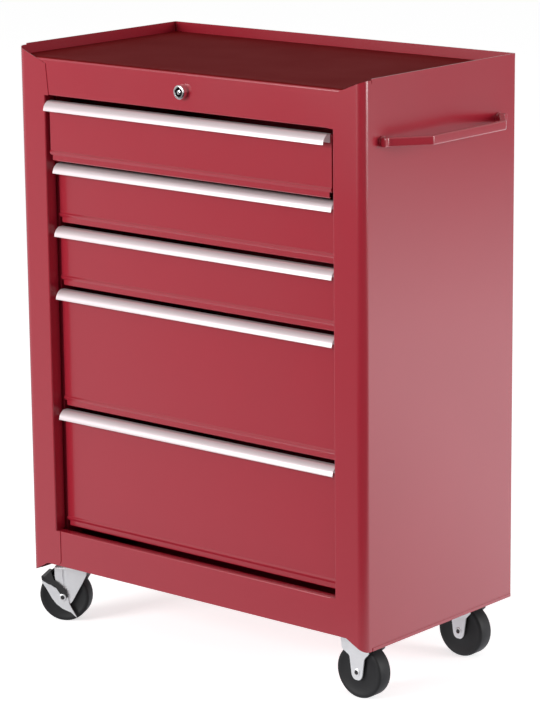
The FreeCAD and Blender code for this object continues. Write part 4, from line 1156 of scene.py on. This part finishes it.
# %% Light for mirror rays
def slope(nodes, link, way, span, levels):
    """A level that changes evenly along one way over the floor, in metres from the cabinet."""
    place = nodes.new("ShaderNodeTexCoord")
    along = nodes.new("ShaderNodeVectorMath")
    along.operation = "DOT_PRODUCT"
    along.inputs[1].default_value = way
    change = nodes.new("ShaderNodeMapRange")
    change.inputs["From Min"].default_value = span[0]
    change.inputs["From Max"].default_value = span[1]
    change.inputs["To Min"].default_value = levels[0]
    change.inputs["To Max"].default_value = levels[1]
    link(place.outputs["Object"], along.inputs[0])
    link(along.outputs["Value"], change.inputs["Value"])
    return change.outputs["Result"]


def floor_sheen(nodes, link):
    """Light level for mirror rays: low far out in front, high beside the cabinet."""
    level = slope(nodes, link, FRONT_WAY, FRONT_SPAN, FRONT_LEVELS)
    beside = slope(nodes, link, SIDE_WAY, BESIDE_SPAN, BESIDE_LEVELS)
    far_side = slope(nodes, link, SIDE_WAY, FAR_SPAN, FAR_LEVELS)
    for more in (beside, far_side):
        product = nodes.new("ShaderNodeMath")
        product.operation = "MULTIPLY"
        link(level, product.inputs[0])
        link(more, product.inputs[1])
        level = product.outputs["Value"]
    return level


# %% [markdown]
# To the camera and to soft light the floor is white paper. It adds a little light of its own for
# the camera only, so that it shows as white and still keeps the cabinet's shadow. A mix by the
# kind of ray puts the glow in the paper's place for mirror rays.

# %% Floor material
def floor_material():
    """White paper to the camera and to soft light, and a glow of its own to mirror rays."""
    material = bpy.data.materials.new("floor")
    material.use_nodes = True
    nodes = material.node_tree.nodes
    link = material.node_tree.links.new
    paper = nodes["Principled BSDF"]
    paper.inputs["Base Color"].default_value = PAPER
    paper.inputs["Roughness"].default_value = 1.0
    paper.inputs["Specular IOR Level"].default_value = 0.0
    paper.inputs["Emission Color"].default_value = (1, 1, 1, 1)
    rays = nodes.new("ShaderNodeLightPath")
    lift = nodes.new("ShaderNodeMath")
    lift.operation = "MULTIPLY"
    lift.inputs[1].default_value = FLOOR_LIFT
    link(rays.outputs["Is Camera Ray"], lift.inputs[0])
    link(lift.outputs["Value"], paper.inputs["Emission Strength"])
    glow = nodes.new("ShaderNodeEmission")
    glow.inputs["Color"].default_value = GLOW
    link(floor_sheen(nodes, link), glow.inputs["Strength"])
    choice = nodes.new("ShaderNodeMixShader")
    link(rays.outputs["Is Glossy Ray"], choice.inputs["Fac"])
    link(paper.outputs["BSDF"], choice.inputs[1])
    link(glow.outputs["Emission"], choice.inputs[2])
    link(choice.outputs["Shader"], nodes["Material Output"].inputs["Surface"])
    return material


floor.data.materials.append(floor_material())
print("floor finish:", floor.data.materials[0].name)

# %% [markdown]
# The world is the white wall of the studio. The camera sees it as white, mirror rays see a grey
# room, and it gives only a little soft light, because the tray's floor stays dark in the picture.

# %% World
SOFT_LIGHT = 0.36
MIRRORED_ROOM = 0.60
world = bpy.data.worlds.new("studio")
bpy.context.scene.world = world
world.use_nodes = True
nodes = world.node_tree.nodes
link = world.node_tree.links.new
rays = nodes.new("ShaderNodeLightPath")
soft_or_mirror = nodes.new("ShaderNodeMapRange")
soft_or_mirror.inputs["To Min"].default_value = SOFT_LIGHT
soft_or_mirror.inputs["To Max"].default_value = MIRRORED_ROOM
level = nodes.new("ShaderNodeMix")
level.inputs["B"].default_value = 1.0
link(rays.outputs["Is Glossy Ray"], soft_or_mirror.inputs["Value"])
link(rays.outputs["Is Camera Ray"], level.inputs["Factor"])
link(soft_or_mirror.outputs["Result"], level.inputs["A"])
link(level.outputs["Result"], nodes["Background"].inputs["Strength"])
nodes["Background"].inputs["Color"].default_value = (1, 1, 1, 1)

# %% [markdown]
# Two large square lamps light the cabinet, one in front and a little to the left, the other at
# the right and a little to the back. The rounded corner between the front and the side looks
# past both, so it's a dark line.

# %% Lamps
LAMP_AIM = Vector((0, 0, 0.45))


def lamp(name, azimuth, height, distance, size, power):
    """A soft square lamp, placed by its direction in degrees, that faces the cabinet's middle."""
    data = bpy.data.lights.new(name, "AREA")
    data.shape = "SQUARE"
    data.size = size
    data.energy = power
    made = bpy.data.objects.new(name, data)
    bpy.context.scene.collection.objects.link(made)
    angle = math.radians(azimuth)
    made.location = (distance * math.cos(angle), distance * math.sin(angle), height)
    made.rotation_euler = (LAMP_AIM - made.location).to_track_quat("-Z", "Y").to_euler()


lamp("front lamp", azimuth=-110, height=1.7, distance=4.4, size=2.0, power=155)
lamp("side lamp", azimuth=22, height=1.2, distance=4.2, size=2.0, power=100)
bpy.context.scene.view_settings.view_transform = "Standard"

# %% [markdown]
# ## Sizes and the end
# New looks must not make the cabinet bigger, so the dressed cabinet's box is written down. The
# last line looks the scene over and ends the script.

# %% Sizes
low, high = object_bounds()
print("visual box:", low[:], high[:])
